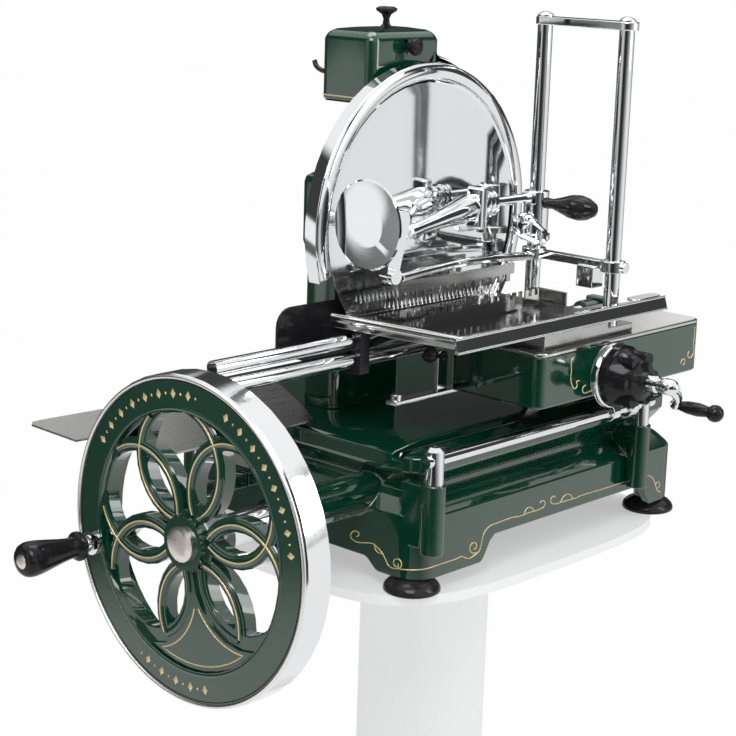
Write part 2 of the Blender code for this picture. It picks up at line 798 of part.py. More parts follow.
chain_slot = box("chain_slot", (SUPPORT_LEFT + SUPPORT_WALL, SUPPORT_RIGHT - SUPPORT_WALL),
                 (SUPPORT_FRONT + SUPPORT_WALL, SUPPORT_BACK - SUPPORT_WALL),
                 (BASE_TOP_Z - TOP_THICKNESS - OVERRUN, BASE_TOP_Z + OVERRUN))
cut(base, neck_bore, cross_bore, rocker_slot, chain_slot, right_bore)
for place in (ROD_LEFT, ROD_RIGHT):
    cut(base, rod("post_socket", (place, ROD_Y, POST_BASE_Z - BOSS_RADIUS), (place, ROD_Y,
                                                                             POST_BASE_Z + OVERRUN),
                  POST_RADIUS / 2 + CLEAR))
for sx in (-1, 1):
    for sy in (-1, 1):
        cut(base, rod("stud_socket", (sx * FOOT_X, sy * FOOT_Y, BASE_BOTTOM - OVERRUN),
                      (sx * FOOT_X, sy * FOOT_Y, BASE_BOTTOM + STUD_HEIGHT + CLEAR), STUD_RADIUS + CLEAR))
finish(base, GREEN, None)

# Feet
for side_x, sx in (("left", -1), ("right", 1)):
    for side_y, sy in (("near", -1), ("far", 1)):
        foot_top = BASE_BOTTOM - CLEAR
        profile = [(0.0, BASE_BOTTOM + STUD_HEIGHT - CLEAR), (STUD_RADIUS,
                                                              BASE_BOTTOM + STUD_HEIGHT - CLEAR),
                   (STUD_RADIUS, foot_top), (FOOT_NECK_RADIUS, foot_top),
                   (FOOT_NECK_RADIUS, foot_top * 0.7), (FOOT_RADIUS * 0.8, foot_top * 0.6),
                   (FOOT_RADIUS, foot_top * 0.35), (FOOT_RADIUS, foot_top * 0.1),
                   (FOOT_RADIUS - foot_top * 0.1, 0.0), (0.0, 0.0)]
        foot = turned("foot_" + side_y + "_" + side_x, profile, (sx * FOOT_X, sy * FOOT_Y, 0), "Z",
                      SMALL_SIDES)
        finish(foot, RUBBER, base)

# Near guide rail: a rod carried by two posts
rail = rod("near_guide_rail", (ROD_LEFT - POST_RADIUS - ROD_STICK_OUT / 2, ROD_Y, ROD_Z),
           (ROD_RIGHT + POST_RADIUS + ROD_STICK_OUT, ROD_Y, ROD_Z), ROD_RADIUS)
for place in (ROD_LEFT, ROD_RIGHT):
    cap = POST_RADIUS * 0.35
    profile = [(0.0, POST_TOP_Z), (POST_RADIUS * 0.6, POST_TOP_Z - cap * 0.3), (POST_RADIUS,
                                                                                POST_TOP_Z - 1.5 * cap),
               (POST_RADIUS, POST_BASE_Z + CLEAR), (POST_RADIUS / 2, POST_BASE_Z + CLEAR),
               (POST_RADIUS / 2, POST_BASE_Z - BOSS_RADIUS + CLEAR),
               (0.0, POST_BASE_Z - BOSS_RADIUS + CLEAR)]
    join(rail, turned("rail_post", profile, (place, ROD_Y, 0), "Z"))
finish(rail, CHROME, base)

# Upper guide tube and lower guide bar, whose left halves run in the black guard's block
tube = rod("upper_guide_tube", (TUBE_LEFT, BAR_Y, TUBE_Z), (TUBE_RIGHT, BAR_Y, TUBE_Z), TUBE_RADIUS)
finish(tube, CHROME, base)
lower_bar = rod("lower_guide_bar", (BAR_LEFT, BAR_Y, BAR_Z), (BAR_RIGHT, BAR_Y, BAR_Z), BAR_RADIUS)
finish(lower_bar, CHROME, base)

# Flywheel: rim, hub, six petals of crossed ribs and a solid fan below
wheel_axis = pivot("flywheel_axis", (WHEEL_FRONT, SHAFT_Y, SHAFT_Z))
hold(wheel_axis, base)
rim_back = -RIM_WIDTH
step = RIM_RECESS
rim_profile = [(RIM_INNER, 0.0), (WHEEL_RADIUS - step / 2, 0.0), (WHEEL_RADIUS, -step / 2),
               (WHEEL_RADIUS, rim_back + step / 2), (WHEEL_RADIUS - step / 2, rim_back),
               (WHEEL_RADIUS - RIM_LAND, rim_back), (WHEEL_RADIUS - RIM_LAND, rim_back + 2 * step),
               (RIM_INNER + step, rim_back + 2 * step), (RIM_INNER + step, rim_back + step),
               (RIM_INNER, rim_back + step)]
flywheel = turned("flywheel", rim_profile, (WHEEL_FRONT, SHAFT_Y, SHAFT_Z), "-X", RIM_SIDES)
hub_front = WHEEL_FRONT - HUB_STAND
hub_back = hub_front + HUB_LENGTH
join(flywheel, rod("hub", (hub_front, SHAFT_Y, SHAFT_Z), (hub_back, SHAFT_Y, SHAFT_Z), HUB_RADIUS,
                   ROUND_SIDES))

# Each petal is a lens between two round ribs, which cross at its tip and run on into the rim.
# The ribs follow circles, whose centres lie beside each petal's middle line.
chord = PETAL_TIP - PETAL_ROOT
rib_radius = (chord ** 2 / 4 + PETAL_BULGE ** 2) / (2 * PETAL_BULGE)
petal_middle = (PETAL_ROOT + PETAL_TIP) / 2
petal_offset = rib_radius - PETAL_BULGE
inside = rib_radius - RIB_WIDTH / 2
outside = rib_radius + RIB_WIDTH / 2
web_radius = RIM_INNER + RIM_RECESS / 2
opening_radius = RIM_INNER - WEB_ROUND
half_angle = math.pi / PETALS


def turned_points(points, heading):
    turn = Matrix.Rotation(heading, 2)
    return [tuple(turn @ Vector(point)) for point in points]


def mirrored(points):
    return [(a, -b) for a, b in reversed(points)]


def rib_at(side, radius, reach):
    """Where a rib's circle on that side of the petal's middle line is that far from the wheel's axis."""
    centre = math.hypot(petal_middle, petal_offset)
    opening = math.acos((centre ** 2 + reach ** 2 - radius ** 2) / (2 * centre * reach))
    angle = side * (math.atan2(petal_offset, petal_middle) - opening)
    return reach * math.cos(angle), reach * math.sin(angle)


def rib_arc(side, radius, start, end):
    """The rib's circle between two points that lie on it."""
    centre = side * petal_offset
    return arc(petal_middle, centre, radius, math.atan2(start[1] - centre, start[0] - petal_middle),
               math.atan2(end[1] - centre, end[0] - petal_middle), RIB_STEPS)


def petal_opening():
    """The lens inside one petal, which lies along +X."""
    half = math.sqrt(inside ** 2 - petal_offset ** 2)
    upper = rib_arc(-1, inside, (petal_middle + half, 0.0), (petal_middle - half, 0.0))
    return upper[:-1] + mirrored(upper)[:-1]


def tip_opening():
    """The curved triangle between the rim and the two ribs that cross at the petal's tip."""
    tip = (petal_middle + math.sqrt(outside ** 2 - petal_offset ** 2), 0.0)
    lower = rib_arc(-1, outside, tip, rib_at(-1, outside, opening_radius))
    spread = math.atan2(lower[-1][1], lower[-1][0])
    rim_side = arc(0.0, 0.0, opening_radius, spread, -spread, RIM_STEPS)
    return lower[:-1] + rim_side[:-1] + mirrored(lower)[:-1]


def gap_opening():
    """The opening between two petals. Its middle line lies along +X."""
    rise = rib_radius * RIB_WIDTH / (2 * petal_offset)
    crossing = (petal_middle + math.sqrt(inside ** 2 - (rise - petal_offset) ** 2), rise)
    lower = rib_arc(-1, outside, rib_at(-1, outside, WEB_HUB_RADIUS), crossing)[:-1]
    lower += rib_arc(1, inside, crossing, rib_at(1, inside, opening_radius))
    lower = turned_points(lower, -half_angle)
    spread = math.atan2(lower[-1][1], lower[-1][0])
    rim_side = arc(0.0, 0.0, opening_radius, spread, -spread, RIM_STEPS)
    return lower[:-1] + rim_side[:-1] + mirrored(lower)


def fan_outline():
    """The solid fan between two petals. Its middle line lies along +X."""
    edge = outside + FAN_GROOVE
    lower = rib_arc(-1, edge, rib_at(-1, edge, WEB_HUB_RADIUS), rib_at(-1, edge, opening_radius))
    lower = turned_points(lower, -half_angle)
    spread = math.atan2(lower[-1][1], lower[-1][0])
    rim_side = arc(0.0, 0.0, opening_radius, spread, -spread, 2 * RIM_STEPS)
    return lower[:-1] + rim_side[:-1] + mirrored(lower)


fan_petal = PETALS - 2
loops = [arc(0.0, 0.0, web_radius, 0.0, 2 * math.pi, RIM_SIDES)[:-1]]
for petal in range(PETALS):
    heading = WHEEL_LEAN + 2 * math.pi * petal / PETALS
    loops.append(turned_points(petal_opening(), heading))
    if petal != fan_petal:
        loops.append(turned_points(gap_opening(), heading + half_angle))
    if petal < fan_petal:
        loops.append(turned_points(tip_opening(), heading))
rib_x = WHEEL_FRONT + RIM_RECESS + RIB_DEPTH / 2
web = outline("web", loops, RIB_DEPTH, (rib_x, SHAFT_Y, SHAFT_Z), "YZ", WEB_ROUND)
join(flywheel, web)
fan_heading = WHEEL_LEAN + 2 * math.pi * fan_petal / PETALS + half_angle
fan_x = WHEEL_FRONT + RIM_RECESS + RIB_DEPTH / 4 - FAN_STAND / 2
fan_plate = outline("fan", turned_points(fan_outline(), fan_heading), RIB_DEPTH / 2 + FAN_STAND,
                    (fan_x, SHAFT_Y, SHAFT_Z), "YZ")
join(flywheel, fan_plate)
spindle_y = SHAFT_Y + HANDLE_Y
spindle_z = SHAFT_Z + HANDLE_Z
shaft_hole = rod("shaft_hole", (hub_front + HUB_STAND, SHAFT_Y, SHAFT_Z), (hub_back + OVERRUN, SHAFT_Y,
                                                                           SHAFT_Z),
                 SHAFT_RADIUS + CLEAR)
spindle_hole = rod("spindle_hole", (WHEEL_FRONT - OVERRUN, spindle_y, spindle_z),
                   (WHEEL_FRONT + RIB_DEPTH, spindle_y, spindle_z), SPINDLE_RADIUS + CLEAR)
cut(flywheel, shaft_hole, spindle_hole)
finish(flywheel, GREEN, wheel_axis)

cap = turned("hub_cap", [(0.0, CAP_LENGTH), (CAP_RADIUS * 0.7, CAP_LENGTH), (CAP_RADIUS, CAP_LENGTH * 0.6),
                         (CAP_RADIUS, CLEAR), (0.0, CLEAR)], (hub_front, SHAFT_Y, SHAFT_Z), "-X",
                         SMALL_SIDES)
finish(cap, BRUSHED, wheel_axis)

grip_start = WHEEL_FRONT - COLLAR_LENGTH
grip_end = grip_start - GRIP_LENGTH
spindle = turned("handle_spindle",
                 [(0.0, GRIP_LENGTH * 0.8), (SPINDLE_RADIUS, GRIP_LENGTH * 0.8), (SPINDLE_RADIUS, 0.0),
                  (COLLAR_RADIUS * 0.7, 0.0), (COLLAR_RADIUS * 0.7, -COLLAR_LENGTH * 0.5),
                  (COLLAR_RADIUS, -COLLAR_LENGTH * 0.6), (COLLAR_RADIUS, -COLLAR_LENGTH + CLEAR),
                  (SPINDLE_RADIUS, -COLLAR_LENGTH + CLEAR), (SPINDLE_RADIUS,
                                                             -COLLAR_LENGTH - RIB_DEPTH + CLEAR * 2),
                  (0.0, -COLLAR_LENGTH - RIB_DEPTH + CLEAR * 2)],
                 (grip_start, spindle_y, spindle_z), "-X")
finish(spindle, CHROME, wheel_axis)
grip_axis = pivot("handle_grip_axis", (grip_start, spindle_y, spindle_z), wheel_axis)
grip_shape = [(0.0, 1.0), (0.62, 1.0), (0.72, 0.96), (0.80, 0.90), (1.0, 0.76), (0.98, 0.55), (0.80, 0.36),
              (0.60, 0.22), (0.52, 0.12), (0.60, 0.05), (0.60, 0.0)]
profile = [(share * GRIP_RADIUS, CLEAR + height * (GRIP_LENGTH - CLEAR)) for share, height in grip_shape]
bore = SPINDLE_RADIUS + CLEAR
profile += [(bore, CLEAR), (bore, GRIP_LENGTH * 0.8 + CLEAR), (0.0, GRIP_LENGTH * 0.8 + CLEAR)]
grip = turned("handle_grip", profile, (grip_start, spindle_y, spindle_z), "-X")
finish(grip, BLACK, grip_axis)
grip_cap = turned("grip_end_cap", [(0.0, GRIP_CAP_LENGTH), (GRIP_CAP_RADIUS * 0.4, GRIP_CAP_LENGTH),
                                   (GRIP_CAP_RADIUS * 0.85, GRIP_CAP_LENGTH * 0.7),
                                   (GRIP_CAP_RADIUS, GRIP_CAP_LENGTH * 0.35), (GRIP_CAP_RADIUS, CLEAR),
                                   (0.0, CLEAR)],
                  (grip_end, spindle_y, spindle_z), "-X")
finish(grip_cap, CHROME, grip_axis)

# Main shaft in its bearing sleeve
shaft_start = hub_front + HUB_STAND + CLEAR
gear_back = CROSS_X - BEVEL_PITCH - BEVEL_HUB_LENGTH
main_shaft = rod("main_shaft", (shaft_start, SHAFT_Y, SHAFT_Z), (gear_back + BEVEL_HUB_LENGTH, SHAFT_Y,
                                                                 SHAFT_Z),
                 SHAFT_RADIUS)
finish(main_shaft, IRON, wheel_axis)
sleeve_bore = SHAFT_RADIUS + CLEAR
sleeve_end = hub_back + CLEAR
sleeve = turned("bearing_sleeve",
                [(SLEEVE_RADIUS, NECK_END - sleeve_end), (SLEEVE_RADIUS, CLEAR), (SLEEVE_SPIGOT, CLEAR),
                 (SLEEVE_SPIGOT, -SLEEVE_INSERT), (sleeve_bore, -SLEEVE_INSERT),
                 (sleeve_bore, NECK_END - sleeve_end)],
                (NECK_END, SHAFT_Y, SHAFT_Z), "-X")
finish(sleeve, CHROME, base)


def bevel_gear(name, place, axis, turn, bore):
    """A straight bevel gear. Its teeth narrow towards the cone's apex, BEVEL_PITCH in front of its back face."""
    shape = bmesh.new()
    pitch_angle = 2 * math.pi / BEVEL_TEETH
    module = 2 * BEVEL_PITCH / BEVEL_TEETH
    tooth = ((-GEAR_FOOT_SHARE, -GEAR_ROOT_SHARE), (-GEAR_TIP_SHARE, GEAR_CREST_SHARE),
             (GEAR_TIP_SHARE, GEAR_CREST_SHARE), (GEAR_FOOT_SHARE, -GEAR_ROOT_SHARE))
    rings = []
    for scale in (1.0, 1.0 - BEVEL_FACE / BEVEL_PITCH):
        ring = []
        for index in range(BEVEL_TEETH):
            for angle_share, radius_share in tooth:
                angle = turn + pitch_angle * (index + angle_share)
                radius = (BEVEL_PITCH + module * radius_share) * scale
                # A point off the pitch cone sits on the back cone, so it also shifts along the axis.
                height = (BEVEL_PITCH - module * radius_share) * scale
                ring.append(shape.verts.new((radius * math.cos(angle), radius * math.sin(angle), -height)))
        rings.append(ring)
    count = len(rings[0])
    for i in range(count):
        j = (i + 1) % count
        shape.faces.new((rings[0][i], rings[0][j], rings[1][j], rings[1][i]))
    back = shape.verts.new((0, 0, -BEVEL_PITCH - module * GEAR_ROOT_SHARE))
    front = shape.verts.new((0, 0,
                             -(BEVEL_PITCH + module * GEAR_ROOT_SHARE) * (1.0 - BEVEL_FACE / BEVEL_PITCH)))
    for i in range(count):
        j = (i + 1) % count
        shape.faces.new((rings[0][j], rings[0][i], back))
        shape.faces.new((rings[1][i], rings[1][j], front))
    gear = mesh_object(name, shape)
    gear.matrix_basis = Matrix.Translation(place) @ turn_to(axis)
    direction = (turn_to(axis) @ Vector((0, 0, 1)))
    hub_top = Vector(place) - direction * (BEVEL_PITCH - BEVEL_FACE)
    hub_low = Vector(place) - direction * (BEVEL_PITCH + BEVEL_HUB_LENGTH)
    join(gear, rod(name + "_hub", hub_low, hub_top, BEVEL_HUB_RADIUS, 12))
    cut(gear, rod(name + "_bore", hub_low - direction * OVERRUN, hub_top + direction * BEVEL_FACE,
                  bore + CLEAR))
    return gear


apex = (CROSS_X, SHAFT_Y, SHAFT_Z)
drive_gear = bevel_gear("drive_bevel_gear", apex, "X", 0.0, SHAFT_RADIUS)
finish(drive_gear, IRON, wheel_axis)

# Cross shaft with its gear, crank disc and sprocket
cross_axis = pivot("cross_shaft_axis", apex, base)
driven_gear = bevel_gear("driven_bevel_gear", apex, "-Y", math.pi / BEVEL_TEETH, CROSS_RADIUS)
finish(driven_gear, IRON, cross_axis)
cross_front = DISC_FRONT + DISC_THICKNESS / 2
cross_shaft = rod("cross_shaft", (CROSS_X, cross_front, SHAFT_Z), (CROSS_X, SUPPORT_BACK + BASE_WALL,
                                                                   SHAFT_Z),
                  CROSS_RADIUS)
crank_reach = (SHAFT_Z - ROCKER_PIVOT_Z) * math.sin(ROCKER_ANGLE)
pin_x = CROSS_X + crank_reach * math.cos(ROCKER_ANGLE)
pin_z = SHAFT_Z - crank_reach * math.sin(ROCKER_ANGLE)
disc = rod("crank_disc", (CROSS_X, DISC_FRONT, SHAFT_Z), (CROSS_X, DISC_FRONT + DISC_THICKNESS, SHAFT_Z),
           DISC_RADIUS, ROUND_SIDES)
crank_pin = rod("crank_pin", (pin_x, DISC_FRONT + DISC_THICKNESS / 2, pin_z),
                (pin_x, ROCKER_Y + ROCKER_THICKNESS / 2 + 2 * CLEAR, pin_z), CRANK_PIN_RADIUS)


def sprocket(name, place, radius, teeth):
    """A toothed wheel in the X-Z plane."""
    points = []
    for index in range(teeth):
        for angle_share, radius_share in ((-0.30, 0.88), (-0.10, 1.0), (0.10, 1.0), (0.30, 0.88)):
            angle = 2 * math.pi * (index + angle_share) / teeth
            points.append((radius * radius_share * math.cos(angle),
                           radius * radius_share * math.sin(angle)))
    return outline(name, points, SPROCKET_THICKNESS, place, "XZ")


sprocket_centre = (CROSS_X, SPROCKET_Y + SPROCKET_THICKNESS / 2, SHAFT_Z)
join(cross_shaft, disc, crank_pin, sprocket("drive_sprocket", sprocket_centre, SPROCKET_RADIUS,
                                            SPROCKET_TEETH))
finish(cross_shaft, IRON, cross_axis)

# Slotted rocker that the crank pin swings, on a stud in the base
rocker_axis = pivot("rocker_axis", rocker_pivot, base)
eye_x = ROCKER_LENGTH * math.sin(ROCKER_ANGLE)
eye_z = ROCKER_LENGTH * math.cos(ROCKER_ANGLE)
rocker = outline("slotted_rocker", tapered_link((0, 0), (eye_x, eye_z), ROCKER_HALF, ROCKER_EYE),
                 ROCKER_THICKNESS, rocker_pivot, "XZ")
slot_half = CRANK_PIN_RADIUS + CLEAR
pivot_height = SHAFT_Z - ROCKER_PIVOT_Z
slot_from = pivot_height + crank_reach + slot_half
slot_low = max(pivot_height - crank_reach, ROCKER_STUD_RADIUS + 2 * slot_half + OVERRUN / 2)
lean = (math.sin(ROCKER_ANGLE), math.cos(ROCKER_ANGLE))
slot = outline("rocker_pin_slot",
               tapered_link((lean[0] * slot_low, lean[1] * slot_low), (lean[0] * slot_from,
                                                                       lean[1] * slot_from),
                            slot_half, slot_half - CLEAR / 100),
               2 * ROCKER_THICKNESS, rocker_pivot, "XZ")
rocker_hole = rod("rocker_hole", (CROSS_X, ROCKER_Y - ROCKER_THICKNESS, ROCKER_PIVOT_Z),
                  (CROSS_X, ROCKER_Y + ROCKER_THICKNESS, ROCKER_PIVOT_Z), ROCKER_STUD_RADIUS + CLEAR)
cut(rocker, slot, rocker_hole)
finish(rocker, IRON, rocker_axis)

# Blade on its shaft, driven by a chain
blade_axis = pivot("blade_axis", (BLADE_X, BLADE_FRONT, BLADE_Z), base)
blade_back = BLADE_FRONT + BLADE_THICKNESS
blade = turned("blade", [(BLADE_SHAFT_RADIUS + CLEAR, 0.0), (BLADE_BOSS_RADIUS, 0.0),
                         (BLADE_BOSS_RADIUS * 1.25, -BLADE_THICKNESS * 0.35),
                         (BLADE_RADIUS - BLADE_BEVEL, -BLADE_THICKNESS * 0.35),
                         (BLADE_RADIUS, -CLEAR), (BLADE_RADIUS, -2 * CLEAR),
                         (BLADE_RADIUS - BLADE_BEVEL, -BLADE_THICKNESS),
                         (BLADE_SHAFT_RADIUS + CLEAR, -BLADE_THICKNESS)],
               (BLADE_X, BLADE_FRONT, BLADE_Z), "-Y", RIM_SIDES)
finish(blade, CHROME, blade_axis)
cover = turned("blade_hub_cover", [(0.0, COVER_DEPTH), (COVER_RADIUS * 0.35, COVER_DEPTH),
                                   (COVER_RADIUS * 0.6, COVER_DEPTH * 0.7), (COVER_RADIUS * 0.62, CLEAR),
                                   (0.0, CLEAR)], (BLADE_X, BLADE_FRONT, BLADE_Z), "-Y", SMALL_SIDES)
finish(cover, CHROME, blade_axis)
blade_shaft = turned("blade_shaft",
                     [(0.0, SUPPORT_BACK - SUPPORT_WALL - CLEAR), (BLADE_SHAFT_RADIUS,
                                                                   SUPPORT_BACK - SUPPORT_WALL - CLEAR),
                      (BLADE_SHAFT_RADIUS, BLADE_FRONT + CLEAR), (0.0, BLADE_FRONT + CLEAR)],
                     (BLADE_X, 0, BLADE_Z), "Y")
blade_sprocket_centre = (BLADE_X, SPROCKET_Y + SPROCKET_THICKNESS / 2, BLADE_Z)
join(blade_shaft, sprocket("blade_sprocket", blade_sprocket_centre, BLADE_SPROCKET_RADIUS,
                           SPROCKET_TEETH // 2))
finish(blade_shaft, IRON, blade_axis)
low_radius = SPROCKET_RADIUS + CHAIN_CLEAR
high_radius = BLADE_SPROCKET_RADIUS + CHAIN_CLEAR
top = (BLADE_X - CROSS_X, BLADE_Z - SHAFT_Z)
chain = outline("blade_chain",
                [tapered_link((0, 0), top, low_radius + CHAIN_THICKNESS, high_radius + CHAIN_THICKNESS,
                              CHAIN_STEPS),
                 tapered_link((0, 0), top, low_radius, high_radius, CHAIN_STEPS)],
                CHAIN_WIDTH, (CROSS_X, SPROCKET_Y + SPROCKET_THICKNESS / 2, SHAFT_Z), "XZ")
finish(chain, IRON, base)

# Blade support: a hollow column with a gear housing at the blade's height
support = box("blade_support", (SUPPORT_LEFT, SUPPORT_RIGHT), (SUPPORT_FRONT, SUPPORT_BACK),
              (BASE_TOP_Z + CLEAR, HOUSING_BOTTOM + SUPPORT_WALL), HOUSING_CORNER, True)
housing = box("gear_housing", (HOUSING_LEFT, HOUSING_RIGHT), (HOUSING_FRONT, SUPPORT_BACK),
              (HOUSING_BOTTOM, HOUSING_TOP), HOUSING_CORNER)
arm = box("sharpener_arm", (BLADE_X - HOUSING_CORNER * 5, BLADE_X - HOUSING_CORNER * 2),
          (SUPPORT_FRONT, SUPPORT_FRONT + HOUSING_CORNER), (HOUSING_TOP - HOUSING_CORNER, SHARPENER_TOP
                                                         - SHARPENER_WALL - SHARPENER_CORNER * 0.5 - CLEAR))
join(support, housing, arm)
shaft_cavity = box("column_cavity", (SUPPORT_LEFT + SUPPORT_WALL, SUPPORT_RIGHT - SUPPORT_WALL),
                   (SUPPORT_FRONT + SUPPORT_WALL, SUPPORT_BACK - SUPPORT_WALL),
                   (BASE_TOP_Z - OVERRUN, HOUSING_TOP - SUPPORT_WALL))
housing_cavity = box("housing_cavity", (HOUSING_LEFT + SUPPORT_WALL, HOUSING_RIGHT - SUPPORT_WALL),
                     (HOUSING_FRONT + SUPPORT_WALL, SUPPORT_BACK - SUPPORT_WALL),
                     (HOUSING_BOTTOM + SUPPORT_WALL, HOUSING_TOP - SUPPORT_WALL))
shaft_way = rod("blade_shaft_way", (BLADE_X, HOUSING_FRONT - OVERRUN, BLADE_Z), (BLADE_X, SUPPORT_BACK
                                                                                  - SUPPORT_WALL, BLADE_Z),
                BLADE_SHAFT_RADIUS + CLEAR)
cut(support, shaft_cavity, housing_cavity, shaft_way)
finish(support, GREEN, base)

# Ring guard round the blade, open where the meat meets it
ring_points = arc(0, 0, RING_RADIUS, RING_START, RING_END, 34)
ring_points += list(reversed(arc(0, 0, RING_INNER, RING_START, RING_END, 34)))
ring_y = RING_FRONT + RING_DEPTH / 2
ring = outline("ring_guard", ring_points, RING_DEPTH, (BLADE_X, ring_y, BLADE_Z), "XZ")
ring_back = RING_FRONT + RING_DEPTH
stay = box("ring_stay", (BLADE_X + BLADE_BOSS_RADIUS, BLADE_X + (RING_RADIUS + RING_INNER) / 2),
           (blade_back + BLADE_CLEAR, HOUSING_FRONT - CLEAR), (BLADE_Z - STAY_HALF, BLADE_Z + STAY_HALF))
lug = box("ring_lug", (BLADE_X - 2 * STAY_HALF, BLADE_X), (ring_back - RING_DEPTH / 2,
                                                           SHARPENER_FRONT - CLEAR),
          (BLADE_Z + RING_INNER + RING_ROUND, BLADE_Z + RING_RADIUS - RING_ROUND))
join(ring, stay, lug)
finish(ring, CHROME, base)

# Black guard panel below the open part of the ring
points = [(PANEL_RIGHT, PANEL_BOTTOM), (PANEL_RIGHT, PANEL_TOP)]
points += arc(PANEL_LEFT + PANEL_CORNER, PANEL_TOP - PANEL_CORNER, PANEL_CORNER, math.pi / 2, math.pi, 5)
points += [(PANEL_LEFT, PANEL_BOTTOM)]
panel = outline("lower_guard", points, PANEL_THICKNESS, (0, PANEL_Y + PANEL_THICKNESS / 2, 0), "XZ")
block_x = (BRACKET_X - BRACKET_THICKNESS / 2, BRACKET_X + BRACKET_THICKNESS / 2)
block_z = (BAR_Z - BRACKET_THICKNESS, BRACKET_TOP)
block = box("guide_block", block_x, (BAR_Y - BRACKET_HALF, SUPPORT_FRONT + GUARD_FOOT), block_z)
block_foot = box("block_foot", (block_x[0] + OVERRUN / 4, SUPPORT_LEFT - CLEAR),
                 (SUPPORT_FRONT + HOUSING_CORNER / 8, SUPPORT_FRONT + HOUSING_CORNER + GUARD_FOOT),
                 (block_z[0] + OVERRUN / 4, block_z[1] - OVERRUN / 4))
join(panel, block, block_foot)
cut(panel, rod("bar_hole", (BRACKET_X - BRACKET_THICKNESS, BAR_Y, BAR_Z), (BRACKET_X + BRACKET_THICKNESS,
                                                                           BAR_Y,
                                                                         BAR_Z), BAR_RADIUS + CLEAR),
    rod("tube_hole", (BRACKET_X - BRACKET_THICKNESS, BAR_Y, TUBE_Z), (TUBE_RIGHT + CLEAR, BAR_Y, TUBE_Z),
        TUBE_RADIUS + CLEAR))
finish(panel, BLACK, base)

# Sharpener on top of the support
sharpener_bottom = SHARPENER_BOTTOM
middle = ((SHARPENER_LEFT + SHARPENER_RIGHT) / 2, (SHARPENER_FRONT + SHARPENER_BACK) / 2)
sharp_x = (SHARPENER_RIGHT - SHARPENER_LEFT) / 2
sharp_y = (SHARPENER_BACK - SHARPENER_FRONT) / 2
round_off = SHARPENER_CORNER
case = stack("sharpener_housing", middle, sharp_x, sharp_y, SHARPENER_CORNER,
             [(0.0, SHARPENER_BOTTOM), (0.0, SHARPENER_TOP - round_off), (round_off * 0.3, SHARPENER_TOP
                                                                         - round_off * 0.3),
              (round_off, SHARPENER_TOP), (round_off * 2.4, SHARPENER_TOP + round_off * 0.2)])
skirt = list(arc(0, 0, RING_RADIUS + SKIRT_GAP, SKIRT_START, SKIRT_END, 8))
skirt += list(reversed(arc(0, 0, RING_RADIUS + SKIRT_GAP + SHARPENER_WALL, SKIRT_START, SKIRT_END, 8)))
skirt_depth = SHARPENER_BACK - SHARPENER_FRONT - SHARPENER_CORNER
join(case, outline("sharpener_skirt", skirt, skirt_depth, (BLADE_X, SHARPENER_FRONT + skirt_depth / 2,
                                                           BLADE_Z), "XZ"))
hollow = stack("sharpener_hollow", middle, sharp_x, sharp_y, SHARPENER_CORNER,
               [(SHARPENER_WALL, SHARPENER_BOTTOM - OVERRUN), (SHARPENER_WALL,
                                                               SHARPENER_TOP - SHARPENER_WALL
                                                               - round_off * 0.5)])
cut(case, hollow)
stone_z = SHARPENER_BOTTOM + SHARPENER_WALL * 2
for place in (STONE_LEFT_X, STONE_RIGHT_X):
    cut(case, rod("stone_way", (place, SHARPENER_FRONT - OVERRUN, stone_z),
                  (place, SHARPENER_FRONT + SHARPENER_WALL + OVERRUN, stone_z), STONE_ROD + CLEAR))
cut(case, rod("button_way", (BUTTON_X, SHARPENER_FRONT - OVERRUN, BUTTON_Z),
              (BUTTON_X, SHARPENER_FRONT + SHARPENER_WALL + OVERRUN, BUTTON_Z), BUTTON_STEM + CLEAR))
finish(case, GREEN, base)
for name, place in (("grinding_stone", STONE_LEFT_X), ("honing_stone", STONE_RIGHT_X)):
    stone_axis = pivot(name + "_axis", (place, SHARPENER_FRONT, stone_z), base)
    stone_front = blade_back + BLADE_CLEAR
    stone = turned(name, [(0.0, SHARPENER_FRONT + 3 * SHARPENER_WALL - stone_front),
                          (STONE_ROD, SHARPENER_FRONT + 3 * SHARPENER_WALL - stone_front),
                          (STONE_ROD, STONE_THICKNESS), (STONE_RADIUS * 0.6, STONE_THICKNESS),
                          (STONE_RADIUS, STONE_THICKNESS * 0.4), (STONE_RADIUS, 0.0), (0.0, 0.0)],
                   (place, stone_front, stone_z), "Y")
    finish(stone, GRIT, stone_axis)
case_top = SHARPENER_TOP + round_off * 0.2
knob_shape = [(0.0, 1.0), (0.7, 1.0), (1.0, 0.92), (0.95, 0.80), (0.45, 0.62), (0.28, 0.40), (0.34, 0.15),
              (0.6, 0.0),
              (0.0, 0.0)]
knob_axis = pivot("sharpener_knob_axis", (KNOB_X, 0, case_top), base)
knob = turned("sharpener_knob", [(KNOB_RADIUS * a, CLEAR + KNOB_HEIGHT * b) for a, b in knob_shape],
              (KNOB_X, 0, case_top), "Z")
finish(knob, BLACK, knob_axis)
button_axis = pivot("sharpener_button_axis", (BUTTON_X, SHARPENER_FRONT, BUTTON_Z), base)
button_back = BUTTON_TRAVEL + CLEAR
button_shape = [(0.0, BUTTON_HEIGHT), (BUTTON_RADIUS * 0.55, BUTTON_HEIGHT * 0.97),
                (BUTTON_RADIUS * 0.92, BUTTON_HEIGHT * 0.82), (BUTTON_RADIUS, BUTTON_HEIGHT * 0.62),
                (BUTTON_RADIUS * 0.84, BUTTON_HEIGHT * 0.36), (BUTTON_RADIUS * 0.7, button_back),
                (BUTTON_STEM, button_back), (BUTTON_STEM, -BUTTON_STEM_LENGTH), (0.0, -BUTTON_STEM_LENGTH)]
button = turned("sharpener_button", button_shape, (BUTTON_X, SHARPENER_FRONT, BUTTON_Z), "-Y")
finish(button, BLACK, button_axis)

